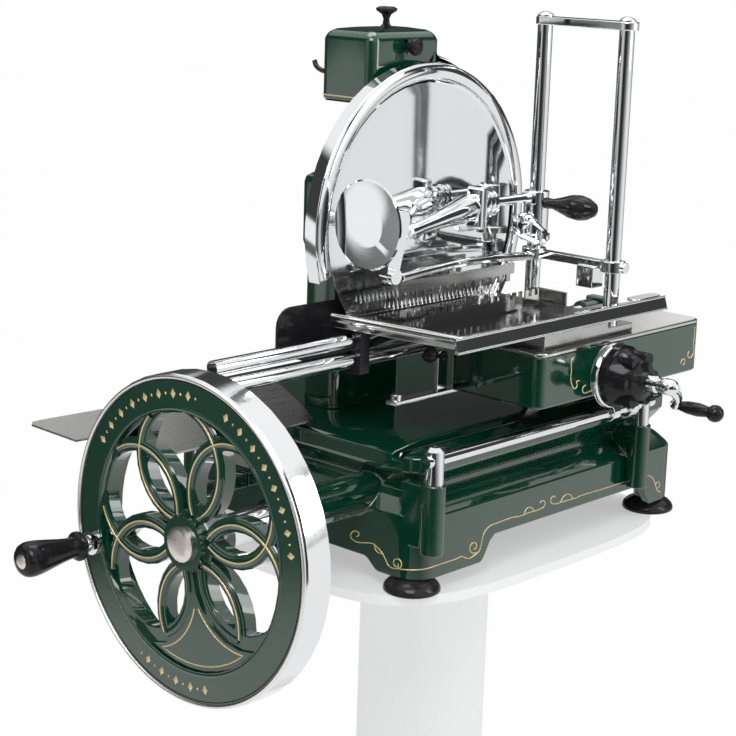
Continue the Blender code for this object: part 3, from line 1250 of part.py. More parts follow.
# Slice tray behind the blade, on a post that it swivels on
tray_arm = box("tray_arm", (TRAY_POST_X - 2 * TRAY_POST_RADIUS, -half_length - CLEAR),
               (TRAY_POST_Y - TRAY_ARM_HALF, TRAY_POST_Y + TRAY_ARM_HALF),
               (TRAY_ARM_Z - TRAY_ARM_HALF, TRAY_ARM_Z + TRAY_ARM_HALF), TRAY_ARM_HALF / 4)
tray_low = TRAY_Z - TRAY_THICKNESS / 2
join(tray_arm, rod("tray_post", (TRAY_POST_X, TRAY_POST_Y, TRAY_ARM_Z),
                   (TRAY_POST_X, TRAY_POST_Y, tray_low - CLEAR), TRAY_POST_RADIUS))
finish(tray_arm, CHROME, base)
tray_axis = pivot("slice_tray_axis", (TRAY_POST_X, TRAY_POST_Y, TRAY_Z), base)
tray = outline("slice_tray", list(TRAY_OUTLINE), TRAY_THICKNESS, (0, 0, TRAY_Z))
tray_boss = rod("tray_boss", (TRAY_POST_X, TRAY_POST_Y, tray_low - 3 * TRAY_POST_RADIUS),
                (TRAY_POST_X, TRAY_POST_Y, TRAY_Z), TRAY_POST_RADIUS * 1.6)
join(tray, tray_boss)
cut(tray, rod("tray_bore", (TRAY_POST_X, TRAY_POST_Y, tray_low - 4 * TRAY_POST_RADIUS),
              (TRAY_POST_X, TRAY_POST_Y, tray_low), TRAY_POST_RADIUS + CLEAR))
finish(tray, STEEL, tray_axis)

# Carriage: a casting open below, with a steel lid, sliding along X
carriage_axis = pivot("carriage_axis", (0, ROD_Y, ROD_Z), base)
casting_top = CARRIAGE_TOP - LID_THICKNESS - CLEAR
middle = ((CARRIAGE_LEFT + CARRIAGE_RIGHT) / 2, (CARRIAGE_FRONT + CARRIAGE_BACK) / 2)
carriage_x = (CARRIAGE_RIGHT - CARRIAGE_LEFT) / 2
carriage_y = (CARRIAGE_BACK - CARRIAGE_FRONT) / 2
carriage = stack("carriage", middle, carriage_x, carriage_y, CARRIAGE_CORNER,
                 [(CARRIAGE_WALL / 3, CARRIAGE_BOTTOM), (0.0, CARRIAGE_BOTTOM + CARRIAGE_WALL / 3),
                  (0.0, casting_top)])
hollow = stack("carriage_hollow", middle, carriage_x, carriage_y, CARRIAGE_CORNER,
               [(CARRIAGE_WALL, CARRIAGE_BOTTOM - OVERRUN), (CARRIAGE_WALL,
                                                             casting_top - CARRIAGE_WALL / 2)])
cut(carriage, hollow)
fork_x = CROSS_X + ROCKER_LENGTH * math.sin(ROCKER_ANGLE)
for side in (-1, 1):
    inside = fork_x + side * FORK_HALF
    outside = inside + side * FORK_THICKNESS
    cheek = box("fork_cheek", (min(inside, outside), max(inside, outside)),
                (ROCKER_Y - ROCKER_HALF, ROCKER_Y + ROCKER_HALF),
                (FORK_BOTTOM, casting_top - CARRIAGE_WALL / 4))
    join(carriage, cheek)
screw_front = CARRIAGE_FRONT + CARRIAGE_WALL + OVERRUN
for low, high in ((CARRIAGE_FRONT - OVERRUN, screw_front),
                  (CARRIAGE_BACK - CARRIAGE_WALL - OVERRUN, CARRIAGE_BACK + OVERRUN)):
    cut(carriage, rod("screw_way", (SCREW_X, low, SCREW_Z), (SCREW_X, high, SCREW_Z), SCREW_RADIUS + CLEAR))
nut_way_y = (NUT_Y - FEED_TRAVEL - NUT_LENGTH / 2 - OVERRUN, NUT_Y + NUT_LENGTH / 2 + OVERRUN)
cut(carriage, box("nut_way", (SCREW_X - NUT_HALF / 2 - OVERRUN / 2, SCREW_X + NUT_HALF / 2 + OVERRUN / 2),
                  nut_way_y,
                  (casting_top - CARRIAGE_WALL, casting_top + OVERRUN)))
for place in (BUSH_LEFT_X, BUSH_RIGHT_X):
    join(carriage, rod("bar_bush", (place - BUSH_LENGTH / 2, BAR_Y, BAR_Z), (place + BUSH_LENGTH / 2, BAR_Y,
                                                                             BAR_Z),
                       BUSH_RADIUS),
         box("bush_flange", (place - BUSH_LENGTH / 2 + OVERRUN / 4, place + BUSH_LENGTH / 2 - OVERRUN / 4),
             (CARRIAGE_BACK - CARRIAGE_WALL / 2, BAR_Y - BAR_RADIUS / 2), (CARRIAGE_BOTTOM + CARRIAGE_WALL,
                                                                           BAR_Z)))
    cut(carriage, rod("bush_bore", (place - BUSH_LENGTH, BAR_Y, BAR_Z), (place + BUSH_LENGTH, BAR_Y, BAR_Z),
                      BAR_RADIUS + CLEAR))
finish(carriage, GREEN, carriage_axis)

lid = stack("carriage_lid", middle, carriage_x, carriage_y, CARRIAGE_CORNER,
            [(0.0, CARRIAGE_TOP - LID_THICKNESS), (0.0, CARRIAGE_TOP - LID_THICKNESS / 4),
             (LID_THICKNESS / 4, CARRIAGE_TOP)])
cut(lid, box("nut_slot", (SCREW_X - NUT_HALF / 2 - OVERRUN / 2, SCREW_X + NUT_HALF / 2 + OVERRUN / 2),
             nut_way_y,
             (CARRIAGE_TOP - LID_THICKNESS - OVERRUN, CARRIAGE_TOP + OVERRUN)))
finish(lid, STEEL, carriage_axis)

slider_mid = (SLIDER_LEFT + SLIDER_RIGHT) / 2
slider = rod("rod_slider", (SLIDER_LEFT, ROD_Y, ROD_Z), (SLIDER_RIGHT, ROD_Y, ROD_Z), SLIDER_RADIUS)
slider_neck = box("slider_neck", (SLIDER_LEFT + SLIDER_RADIUS / 2, SLIDER_RIGHT - SLIDER_RADIUS / 2),
                  (ROD_Y - SLIDER_RADIUS * 0.7, ROD_Y + SLIDER_RADIUS * 0.7),
                  (ROD_Z + SLIDER_RADIUS / 2, CARRIAGE_BOTTOM - CLEAR))
slider_gap = box("slider_gap", (slider_mid - SLIDER_RADIUS, slider_mid + SLIDER_RADIUS),
                 (ROD_Y - 2 * SLIDER_RADIUS, ROD_Y + 2 * SLIDER_RADIUS),
                 (ROD_Z - 2 * SLIDER_RADIUS, CARRIAGE_BOTTOM - SLIDER_RADIUS))
join(slider, slider_neck)
cut(slider, slider_gap, rod("slider_bore", (SLIDER_LEFT - OVERRUN, ROD_Y, ROD_Z),
                            (SLIDER_RIGHT + OVERRUN, ROD_Y, ROD_Z), ROD_RADIUS + CLEAR))
finish(slider, CHROME, carriage_axis)

# Flat arm, upright bracket and ball lever at the carriage's left end
link_y = CARRIAGE_BACK - LINK_WIDTH
link_arm = box("flat_arm", (CARRIAGE_LEFT - LINK_LENGTH, CARRIAGE_LEFT - CLEAR),
               (link_y - LINK_WIDTH / 2, link_y + LINK_WIDTH / 2), (LINK_Z - LINK_THICKNESS / 2,
                                                                    LINK_Z + LINK_THICKNESS / 2))
join(link_arm, rod("link_nut", (CARRIAGE_LEFT - LINK_LENGTH + LINK_WIDTH / 2, link_y, LINK_Z),
                   (CARRIAGE_LEFT - LINK_LENGTH + LINK_WIDTH / 2, link_y, LINK_Z + LINK_WIDTH * 0.6),
                   LINK_WIDTH * 0.42))
upright_half = LINK_WIDTH * 0.55
upright_points = [(-upright_half, 0.0), (upright_half, 0.0)]
upright_points += arc(0.0, UPRIGHT_HEIGHT - upright_half, upright_half, 0.0, math.pi, 8)
upright_base = LINK_Z
upright = outline("upright", upright_points, LINK_THICKNESS, (LEVER_X, link_y, upright_base), "XZ")
pin_height = upright_base + UPRIGHT_HEIGHT - upright_half
join(link_arm, upright)
cut(link_arm, rod("lever_way", (LEVER_X, link_y - LINK_WIDTH, pin_height), (LEVER_X, link_y + LINK_WIDTH,
                                                                            pin_height),
                 CRANK_SPINDLE_RADIUS + CLEAR))
finish(link_arm, CHROME, carriage_axis)
lever_axis = pivot("ball_lever_axis", (LEVER_X, link_y, pin_height), carriage_axis)
lever = rod("ball_lever", (LEVER_X, link_y + LINK_THICKNESS, pin_height),
            (LEVER_X, link_y - LINK_THICKNESS, pin_height), CRANK_SPINDLE_RADIUS)
lever_arm_y = link_y - LINK_THICKNESS - CRANK_SPINDLE_RADIUS / 2
lever_tip = (LEVER_X - LEVER_LENGTH * math.cos(LEVER_ANGLE), lever_arm_y,
             pin_height + LEVER_LENGTH * math.sin(LEVER_ANGLE))
join(lever, rod("lever_rod", (LEVER_X + CRANK_SPINDLE_RADIUS / 4, lever_arm_y, pin_height), lever_tip,
                CRANK_SPINDLE_RADIUS * 0.97),
     ball("lever_ball", lever_tip, LEVER_BALL_RADIUS))
finish(lever, BLACK, lever_axis)

# Feed screw with its handwheel and crank
screw_axis = pivot("handwheel_axis", (SCREW_X, CARRIAGE_FRONT, SCREW_Z), carriage_axis)
wheel_face = HANDWHEEL_Y - HANDWHEEL_DEPTH
feed_screw = rod("feed_screw", (SCREW_X, wheel_face + HANDWHEEL_DEPTH / 3, SCREW_Z),
                 (SCREW_X, CARRIAGE_BACK - CLEAR, SCREW_Z), SCREW_RADIUS)
finish(feed_screw, IRON, screw_axis)
handwheel = turned("handwheel",
                   [(0.0, HANDWHEEL_DEPTH), (HANDWHEEL_RADIUS * 0.30, HANDWHEEL_DEPTH),
                    (HANDWHEEL_RADIUS * 0.34, HANDWHEEL_DEPTH * 0.86), (HANDWHEEL_RADIUS * 0.62,
                                                                        HANDWHEEL_DEPTH * 0.8),
                    (HANDWHEEL_RADIUS * 0.70, HANDWHEEL_BACK + HANDWHEEL_DEPTH * 0.3),
                    (HANDWHEEL_RADIUS * 0.92, HANDWHEEL_BACK + OVERRUN / 4), (HANDWHEEL_RADIUS,
                                                                              HANDWHEEL_BACK),
                    (HANDWHEEL_RADIUS, 0.0), (0.0, 0.0)],
                   (SCREW_X, HANDWHEEL_Y, SCREW_Z), "-Y", ROUND_SIDES)
for index in range(LOBES):
    angle = 2 * math.pi * index / LOBES
    reach = HANDWHEEL_RADIUS * 0.70
    x = SCREW_X + reach * math.cos(angle)
    z = SCREW_Z + reach * math.sin(angle)
    join(handwheel, rod("lobe", (x, HANDWHEEL_Y - HANDWHEEL_BACK / 2, z),
                        (x, wheel_face + HANDWHEEL_DEPTH * 0.25, z), LOBE_RADIUS, 8))
cut(handwheel, rod("handwheel_bore", (SCREW_X, wheel_face + HANDWHEEL_DEPTH / 3 - CLEAR, SCREW_Z),
                   (SCREW_X, HANDWHEEL_Y + OVERRUN, SCREW_Z), SCREW_RADIUS + CLEAR))
finish(handwheel, BLACK, screw_axis)
arm_y = wheel_face - CLEAR - CRANK_ARM_THICKNESS / 2
crank_end = (SCREW_X + CRANK_ARM_LENGTH * math.cos(CRANK_ARM_ANGLE), arm_y,
             SCREW_Z + CRANK_ARM_LENGTH * math.sin(CRANK_ARM_ANGLE))
crank_arm = outline("crank_arm",
                    tapered_link((0, 0), (crank_end[0] - SCREW_X, crank_end[2] - SCREW_Z), CRANK_HUB_RADIUS,
                                 CRANK_ARM_HALF),
                    CRANK_ARM_THICKNESS, (SCREW_X, arm_y, SCREW_Z), "XZ")
grip_front = arm_y - CRANK_ARM_THICKNESS / 2
join(crank_arm, rod("crank_grip_spindle", (crank_end[0], arm_y, crank_end[2]),
                    (crank_end[0], grip_front - CRANK_GRIP_LENGTH * 0.7, crank_end[2]),
                    CRANK_SPINDLE_RADIUS))
finish(crank_arm, CHROME, screw_axis)
crank_grip_axis = pivot("crank_grip_axis", (crank_end[0], grip_front, crank_end[2]), screw_axis)
bore = CRANK_SPINDLE_RADIUS + CLEAR
grip_shape = [(0.0, 1.0), (0.6, 1.0), (0.8, 0.94), (1.0, 0.70), (0.92, 0.40), (0.62, 0.14), (0.62, 0.0)]
profile = [(CRANK_GRIP_RADIUS * a, CLEAR + CRANK_GRIP_LENGTH * b) for a, b in grip_shape]
profile += [(bore, CLEAR), (bore, CRANK_GRIP_LENGTH * 0.7 + 2 * CLEAR),
            (0.0, CRANK_GRIP_LENGTH * 0.7 + 2 * CLEAR)]
crank_grip = turned("crank_grip", profile, (crank_end[0], grip_front, crank_end[2]), "-Y")
join(crank_grip, turned("crank_grip_ball",
                        [(CRANK_BALL_RADIUS * math.sin(math.pi * i / 8),
                          CRANK_BALL_RADIUS * math.cos(math.pi * i / 8))
                         for i in range(9)],
                        (crank_end[0], grip_front - CRANK_GRIP_LENGTH - CRANK_BALL_RADIUS * 0.8,
                         crank_end[2]), "-Y"))
finish(crank_grip, BLACK, crank_grip_axis)

# Table carrier on the lid, moved along Y by the feed screw's nut
table_axis = pivot("table_axis", (SCREW_X, NUT_Y, CARRIAGE_TOP), carriage_axis)
carrier_bottom = CARRIAGE_TOP + CLEAR
carrier_top = TABLE_BOTTOM - CLEAR
foot_top = carrier_bottom + CARRIER_FOOT_THICKNESS
carrier = box("table_carrier", (CARRIER_LEFT, CARRIER_STEP_X), (CARRIER_FRONT, CARRIER_BACK),
              (carrier_bottom, carrier_top))
wing = box("carrier_wing", (CARRIER_STEP_X - OVERRUN, CARRIER_RIGHT), (CARRIER_FRONT, CARRIER_TONGUE_BACK),
           (carrier_bottom, foot_top), OVERRUN / 4)
stem = box("nut_stem", (SCREW_X - NUT_HALF / 2, SCREW_X + NUT_HALF / 2), (NUT_Y - NUT_LENGTH / 2,
                                                                          NUT_Y + NUT_LENGTH / 2),
           (SCREW_Z, carrier_bottom + CARRIER_FOOT_THICKNESS / 2))
nut = rod("nut", (SCREW_X, NUT_Y - NUT_LENGTH / 2, SCREW_Z), (SCREW_X, NUT_Y + NUT_LENGTH / 2, SCREW_Z),
          NUT_HALF)
join(carrier, wing, stem, nut)
cut(carrier, rod("nut_bore", (SCREW_X, NUT_Y - NUT_LENGTH, SCREW_Z), (SCREW_X, NUT_Y + NUT_LENGTH, SCREW_Z),
                 SCREW_RADIUS + CLEAR))
for place in (COLUMN_FRONT_Y, COLUMN_BACK_Y):
    cut(carrier, rod("column_socket", (COLUMN_X, place, foot_top - COLUMN_PIN), (COLUMN_X, place,
                                                                                 foot_top + OVERRUN),
                     COLUMN_PIN_RADIUS + CLEAR))

floor_top = TABLE_BOTTOM + TABLE_FLOOR
corners = [(TABLE_LEFT, TABLE_FRONT), (TABLE_RIGHT, TABLE_FRONT), (TABLE_RIGHT, TABLE_FAR), (TABLE_LEFT_FAR,
                                                                                             TABLE_FAR)]
table = outline("meat_table", corners, TABLE_FLOOR, (0, 0, TABLE_BOTTOM + TABLE_FLOOR / 2), "XY")
rail = box("table_rail", (TABLE_LEFT, RAIL_RIGHT), (TABLE_FRONT, TABLE_FRONT + RAIL_THICKNESS),
           (TABLE_BOTTOM + TABLE_FLOOR / 2, TABLE_TOP))
rail_top = box("table_rail_top", (TABLE_LEFT, RAIL_RIGHT), (TABLE_FRONT, TABLE_FRONT + 2 * RAIL_THICKNESS),
               (TABLE_TOP - TABLE_FLOOR, TABLE_TOP))
bead_low = (TABLE_LEFT, TABLE_FRONT + BEAD_RADIUS, TABLE_TOP - BEAD_RADIUS)
bead_high = (TABLE_LEFT_FAR, TABLE_FAR - BEAD_RADIUS / 4, TABLE_TOP - BEAD_RADIUS)
bead = rod("table_bead", bead_low, bead_high, BEAD_RADIUS, 16)
skew = (TABLE_LEFT_FAR - TABLE_LEFT)
wall_points = [(TABLE_LEFT, TABLE_FRONT), (TABLE_LEFT + RAIL_THICKNESS, TABLE_FRONT),
               (TABLE_LEFT_FAR + RAIL_THICKNESS, TABLE_FAR), (TABLE_LEFT_FAR, TABLE_FAR)]
wall_height = TABLE_TOP - BEAD_RADIUS - TABLE_BOTTOM
wall = outline("table_wall", wall_points, wall_height, (0, 0, TABLE_BOTTOM + wall_height / 2), "XY")
tab = outline("table_tab", tapered_link((0, 0), (TAB_LENGTH, 0), TAB_WIDTH / 2, TAB_WIDTH / 2 - CLEAR),
              TABLE_FLOOR, (RAIL_RIGHT - TAB_WIDTH / 2, TABLE_FRONT + RAIL_THICKNESS + TAB_WIDTH / 2,
                            TABLE_TOP - TABLE_FLOOR / 4), "XY")
join(table, rail, rail_top, wall, bead, tab)
finish(table, STEEL, table_axis)

# Spiked strip, toothed fence and back plate on the table
fence_points = [(FENCE_LEFT, 0.0), (FENCE_RIGHT, 0.0)]
teeth = int((FENCE_RIGHT - FENCE_LEFT) / FENCE_TOOTH)
pitch = (FENCE_RIGHT - FENCE_LEFT) / teeth
for index in range(teeth):
    right = FENCE_RIGHT - pitch * index
    fence_points += [(right, FENCE_HEIGHT), (right - pitch / 2, FENCE_HEIGHT),
                     (right - pitch / 2, FENCE_HEIGHT * 0.6), (right - pitch, FENCE_HEIGHT * 0.6)]
fence = outline("toothed_fence", fence_points, FENCE_THICKNESS, (0, FENCE_Y, floor_top + CLEAR), "XZ")
join(fence, box("fence_foot", (FENCE_LEFT, FENCE_RIGHT), (FENCE_Y - FENCE_HEIGHT / 2, FENCE_Y),
                (floor_top + CLEAR, floor_top + CLEAR + FENCE_THICKNESS)))
finish(fence, STEEL, table_axis)
strip_low = floor_top + CLEAR
strip_top = strip_low + FENCE_THICKNESS
strip_back = TABLE_FAR - SPIKE_HEIGHT / 2
strip_front = strip_back - 4 * SPIKE_HEIGHT
strip = box("spiked_strip", (FENCE_LEFT, FENCE_RIGHT), (strip_front, strip_back), (strip_low, strip_top))
for row in range(SPIKE_ROWS):
    for index in range(SPIKES):
        x = FENCE_LEFT + (FENCE_RIGHT - FENCE_LEFT) * (index + 0.5 + 0.25 * row) / (SPIKES + 0.5)
        y = strip_front + (strip_back - strip_front) * (row + 0.5) / SPIKE_ROWS
        spike = bmesh.new()
        bmesh.ops.create_cone(spike, cap_ends=True, segments=4, radius1=SPIKE_RADIUS,
                              radius2=SPIKE_RADIUS / 8,
                              depth=SPIKE_HEIGHT + FENCE_THICKNESS / 2,
                              matrix=Matrix.Translation((x, y,
                                                         strip_top + SPIKE_HEIGHT / 2 - FENCE_THICKNESS / 4)))
        join(strip, mesh_object("spike", spike))
finish(strip, STEEL, table_axis)
back_plate = box("back_plate", (BACKPLATE_LEFT, BACKPLATE_LEFT + BACKPLATE_THICKNESS),
                 (BACKPLATE_Y - BACKPLATE_LENGTH / 2,
                  BACKPLATE_Y + BACKPLATE_LENGTH / 2 - COLUMN_RADIUS * 2),
                 (foot_top - OVERRUN / 2, foot_top + BACKPLATE_HEIGHT))
join(carrier, back_plate)
finish(carrier, STEEL, table_axis)

# Columns and crossbar
for side, place in (("near", COLUMN_FRONT_Y), ("far", COLUMN_BACK_Y)):
    profile = [(0.0, COLUMN_TOP + COLUMN_PIN), (COLUMN_PIN_RADIUS, COLUMN_TOP + COLUMN_PIN),
               (COLUMN_PIN_RADIUS, COLUMN_TOP), (COLUMN_RADIUS, COLUMN_TOP), (COLUMN_RADIUS,
                                                                              foot_top + CLEAR),
               (COLUMN_PIN_RADIUS, foot_top + CLEAR), (COLUMN_PIN_RADIUS, foot_top - COLUMN_PIN + CLEAR),
               (0.0, foot_top - COLUMN_PIN + CLEAR)]
    column = turned("column_" + side, profile, (COLUMN_X, place, 0), "Z")
    finish(column, CHROME, table_axis)
bar_low = COLUMN_TOP + CLEAR
crossbar = outline("column_crossbar",
                   tapered_link((COLUMN_X, COLUMN_FRONT_Y), (COLUMN_X, COLUMN_BACK_Y), CROSSBAR_BOSS,
                                CROSSBAR_BOSS * 0.85),
                   CROSSBAR_THICKNESS, (0, 0, bar_low + CROSSBAR_THICKNESS / 2), "XY")
for place in (COLUMN_FRONT_Y, COLUMN_BACK_Y):
    cut(crossbar, rod("pin_socket", (COLUMN_X, place, bar_low - OVERRUN), (COLUMN_X, place,
                                                                           COLUMN_TOP + COLUMN_PIN
                                                                        + CLEAR),
                                                                        COLUMN_PIN_RADIUS + CLEAR))
finish(crossbar, CHROME, table_axis)


def turned_between(name, profile, start, end, sides=SMALL_SIDES):
    """A turned shape whose heights run as shares from start to end."""
    start, end = Vector(start), Vector(end)
    span = end - start
    obj = turned(name, [(radius, height * span.length) for radius, height in profile], (0, 0, 0), "Z",
                 sides)
    obj.matrix_basis = Matrix.Translation(start) @ span.to_track_quat("Z", "Y").to_matrix().to_4x4()
    return obj


# Press: a yoke on both columns with a toothed plate, and a pusher on an arm above it
press_axis = pivot("press_axis", (COLUMN_X, COLUMN_BACK_Y, YOKE_Z), table_axis)
yoke_mid = YOKE_Z + YOKE_HEIGHT / 2
yoke = box("press_yoke", (COLUMN_X - YOKE_HALF, COLUMN_X + YOKE_HALF), (COLUMN_FRONT_Y, COLUMN_BACK_Y),
           (YOKE_Z + OVERRUN / 2, YOKE_Z + YOKE_HEIGHT - OVERRUN / 2))
for place in (COLUMN_FRONT_Y, COLUMN_BACK_Y):
    join(yoke, rod("yoke_ring", (COLUMN_X, place, YOKE_Z), (COLUMN_X, place, YOKE_Z + YOKE_HEIGHT),
                   YOKE_RING))
boss_start = COLUMN_FRONT_Y - YOKE_RING * 0.85
join(yoke, rod("yoke_boss", (COLUMN_X, boss_start, yoke_mid), (COLUMN_X, boss_start - YOKE_HALF, yoke_mid),
               YOKE_HEIGHT * 0.48))
stop = box("yoke_stop", (COLUMN_X - YOKE_RING * 0.75, COLUMN_X + YOKE_RING * 0.75),
           (COLUMN_FRONT_Y + YOKE_RING * 1.4, COLUMN_FRONT_Y + YOKE_RING * 3),
           (YOKE_Z - YOKE_RING * 1.5, YOKE_Z + OVERRUN), OVERRUN / 4)
arm_steps = 8
arm_start = COLUMN_X - YOKE_RING * 0.8
points = []
for i in range(arm_steps + 1):
    t = i / arm_steps
    points.append((arm_start + (PRESS_PLATE_LEFT - arm_start) * t,
                   PRESS_ARM_RADIUS + PRESS_ARM_RISE * math.sin(math.pi * t), 0.0))
press_arm = flat_bar("press_arm", points, 2 * PRESS_ARM_RADIUS, 2 * PRESS_ARM_RADIUS + OVERRUN,
                     (0, PRESS_PLATE_Y, PRESS_PLATE_TOP), "XZ")
join(yoke, stop, press_arm)
for place in (COLUMN_FRONT_Y, COLUMN_BACK_Y):
    cut(yoke, rod("yoke_bore", (COLUMN_X, place, YOKE_Z - OVERRUN), (COLUMN_X, place,
                                                                     YOKE_Z + YOKE_HEIGHT + OVERRUN),
                  COLUMN_RADIUS + CLEAR))
finish(yoke, CHROME, press_axis)
plate_top = PRESS_PLATE_TOP - CLEAR
press_pitch = (PRESS_PLATE_RIGHT - PRESS_PLATE_LEFT) / PRESS_TEETH
points = [(PRESS_PLATE_LEFT, 0.0)]
for index in range(PRESS_TEETH):
    left = PRESS_PLATE_LEFT + press_pitch * index
    points += [(left, -PRESS_PLATE_HEIGHT), (left + press_pitch / 2, -PRESS_PLATE_HEIGHT),
               (left + press_pitch / 2, -PRESS_PLATE_HEIGHT * 0.6), (left + press_pitch,
                                                                     -PRESS_PLATE_HEIGHT * 0.6)]
points += [(PRESS_PLATE_RIGHT, 0.0)]
press_plate = outline("press_plate", points, PRESS_PLATE_THICKNESS, (0, PRESS_PLATE_Y, plate_top), "XZ")
finish(press_plate, STEEL, press_axis)

clamp = rod("column_clamp", (COLUMN_X, COLUMN_BACK_Y, CLAMP_BOTTOM),
            (COLUMN_X, COLUMN_BACK_Y, CLAMP_BOTTOM + CLAMP_HEIGHT), CLAMP_RADIUS)
collar = rod("clamp_collar", (COLUMN_X, COLUMN_BACK_Y, CLAMP_BOTTOM - OVERRUN),
             (COLUMN_X, COLUMN_BACK_Y, CLAMP_BOTTOM + OVERRUN), CLAMP_RADIUS * 1.2)
clamp_boss = box("clamp_boss", (COLUMN_X - CLAMP_RADIUS * 1.3, COLUMN_X),
                 (COLUMN_BACK_Y - CROSS_ROD_RADIUS * 1.5,
                                                                     COLUMN_BACK_Y + CROSS_ROD_RADIUS * 1.5),
                 (CROSS_ROD_Z - CROSS_ROD_RADIUS * 1.2, CLAMP_BOTTOM + CLAMP_HEIGHT - OVERRUN / 4),
                 OVERRUN / 4)
rod_start = COLUMN_X - CLAMP_RADIUS * 1.3 + OVERRUN / 4
cross_rod = rod("pusher_rod", (rod_start, COLUMN_BACK_Y, CROSS_ROD_Z), (CROSS_ROD_LEFT, COLUMN_BACK_Y,
                                                                        CROSS_ROD_Z),
                CROSS_ROD_RADIUS)
join(clamp, collar, clamp_boss, cross_rod)
cut(clamp, rod("clamp_bore", (COLUMN_X, COLUMN_BACK_Y, CLAMP_BOTTOM - 2 * OVERRUN),
               (COLUMN_X, COLUMN_BACK_Y, CLAMP_BOTTOM + CLAMP_HEIGHT + OVERRUN), COLUMN_RADIUS + CLEAR))
finish(clamp, CHROME, press_axis)
tear_y = COLUMN_BACK_Y - CLAMP_RADIUS - CLEAR
tear_axis = pivot("teardrop_handle_axis", (COLUMN_X, tear_y, TEAR_Z), press_axis)
tear_shape = [(0.0, 1.0), (0.25, 0.985), (0.55, 0.94), (0.85, 0.82), (1.0, 0.66), (0.92, 0.50),
              (0.62, 0.30),
              (0.40, 0.14), (0.44, 0.0), (0.0, 0.0)]
tear = turned("teardrop_handle", [(TEAR_RADIUS * a, TEAR_LENGTH * b) for a, b in tear_shape],
              (COLUMN_X, tear_y, TEAR_Z), "-Y")
finish(tear, BLACK, tear_axis)
loop_x = COLUMN_X - CLAMP_RADIUS * 1.2 - 2 * LOOP_RADIUS
loop_z = CLAMP_BOTTOM + CLAMP_HEIGHT * 0.28
loop_axis = pivot("loop_lever_axis", (loop_x, COLUMN_BACK_Y, loop_z), press_axis)
points = arc(0.0, 0.0, LOOP_HALF, math.pi / 2, 3 * math.pi / 2, 6)
points += arc(LOOP_REACH, 0.0, LOOP_HALF * 0.7, -math.pi / 2, math.pi / 2, 6)
loop = bar("loop_lever", [(loop_x, COLUMN_BACK_Y - a * math.cos(LOOP_ANGLE) - b * math.sin(LOOP_ANGLE),
                           loop_z - a * math.sin(LOOP_ANGLE) + b * math.cos(LOOP_ANGLE)) for a,
                           b in points],
           LOOP_RADIUS, closed=True)
join(loop, rod("loop_bar", (loop_x, COLUMN_BACK_Y, loop_z - LOOP_HALF * 0.98), (loop_x, COLUMN_BACK_Y,
                                                                                loop_z
                                                                    + LOOP_HALF * 0.98), LOOP_RADIUS * 0.9,
                                                                    12),
     rod("loop_pin", (loop_x - LOOP_RADIUS * 1.2, COLUMN_BACK_Y, loop_z),
         (COLUMN_X - CLAMP_RADIUS - 2 * CLEAR, COLUMN_BACK_Y, loop_z), LOOP_RADIUS * 1.3, 16))
finish(loop, CHROME, loop_axis)

arm_axis = pivot("pusher_arm_axis", (CROSS_ROD_LEFT, COLUMN_BACK_Y, CROSS_ROD_Z), press_axis)
rib_count = 3
profile = [(0.0, RIBBED_LENGTH), (RIBBED_RADIUS, RIBBED_LENGTH)]
for index in range(rib_count):
    high = RIBBED_LENGTH * (1 - index / rib_count)
    profile += [(RIBBED_RADIUS, high - RIBBED_LENGTH * 0.18), (RIBBED_RADIUS * 0.84,
                                                               high - RIBBED_LENGTH * 0.22)]
    if index < rib_count - 1:
        profile += [(RIBBED_RADIUS * 0.84, high - RIBBED_LENGTH * 0.30), (RIBBED_RADIUS,
                                                                          high - RIBBED_LENGTH
                                                                          / rib_count)]
profile += [(RIBBED_RADIUS * 0.84, -OVERRUN), (0.0, -OVERRUN)]
ribbed = turned("ribbed_collar", profile, (CROSS_ROD_LEFT, COLUMN_BACK_Y, CROSS_ROD_Z), "X")
horn_end = (PUSH_ARM_END - HORN_REACH, PUSHER_Y, PUSH_ARM_Z)
horn_shape = [(0.0, 1.0), (0.30, 0.995), (0.44, 0.97), (0.50, 0.93), (0.48, 0.80), (0.55, 0.62),
              (0.78, 0.36),
              (1.0, 0.16), (0.96, 0.06), (0.70, 0.0), (0.0, 0.0)]
horn = turned_between("pusher_arm", [(RIBBED_RADIUS * a, b) for a, b in horn_shape],
                      (CROSS_ROD_LEFT - OVERRUN / 2, COLUMN_BACK_Y, CROSS_ROD_Z), horn_end)
join(horn, ribbed)
cut(horn, rod("collar_bore", (CROSS_ROD_LEFT - CLEAR, COLUMN_BACK_Y, CROSS_ROD_Z),
              (CROSS_ROD_LEFT + RIBBED_LENGTH + OVERRUN, COLUMN_BACK_Y, CROSS_ROD_Z),
              CROSS_ROD_RADIUS + CLEAR))
finish(horn, CHROME, arm_axis)
bracket_x = PUSH_ARM_END - BRACKET_EYE - CLEAR
bracket = outline("pivot_bracket",
                  tapered_link((bracket_x, PUSHER_Z), (bracket_x - BRACKET_LEAN, PUSH_ARM_Z - BRACKET_DROP),
                               BRACKET_EYE, BRACKET_EYE * 0.75),
                  BRACKET_DEPTH, (0, PUSHER_Y, 0), "XZ")
join(bracket, rod("bracket_boss", (bracket_x - BRACKET_LEAN, PUSHER_Y, PUSH_ARM_Z - BRACKET_DROP),
                  (bracket_x - BRACKET_LEAN, PUSHER_Y - BRACKET_DEPTH, PUSH_ARM_Z - BRACKET_DROP),
                  BRACKET_EYE * 0.7))
cut(bracket, rod("stub_way", (bracket_x - 2 * BRACKET_EYE, PUSHER_Y, PUSHER_Z), (bracket_x, PUSHER_Y,
                                                                                 PUSHER_Z),
                 LOOP_RADIUS + CLEAR))
finish(bracket, CHROME, arm_axis)
disc_axis = pivot("pusher_disc_axis", (PUSHER_X, PUSHER_Y, PUSHER_Z), arm_axis)
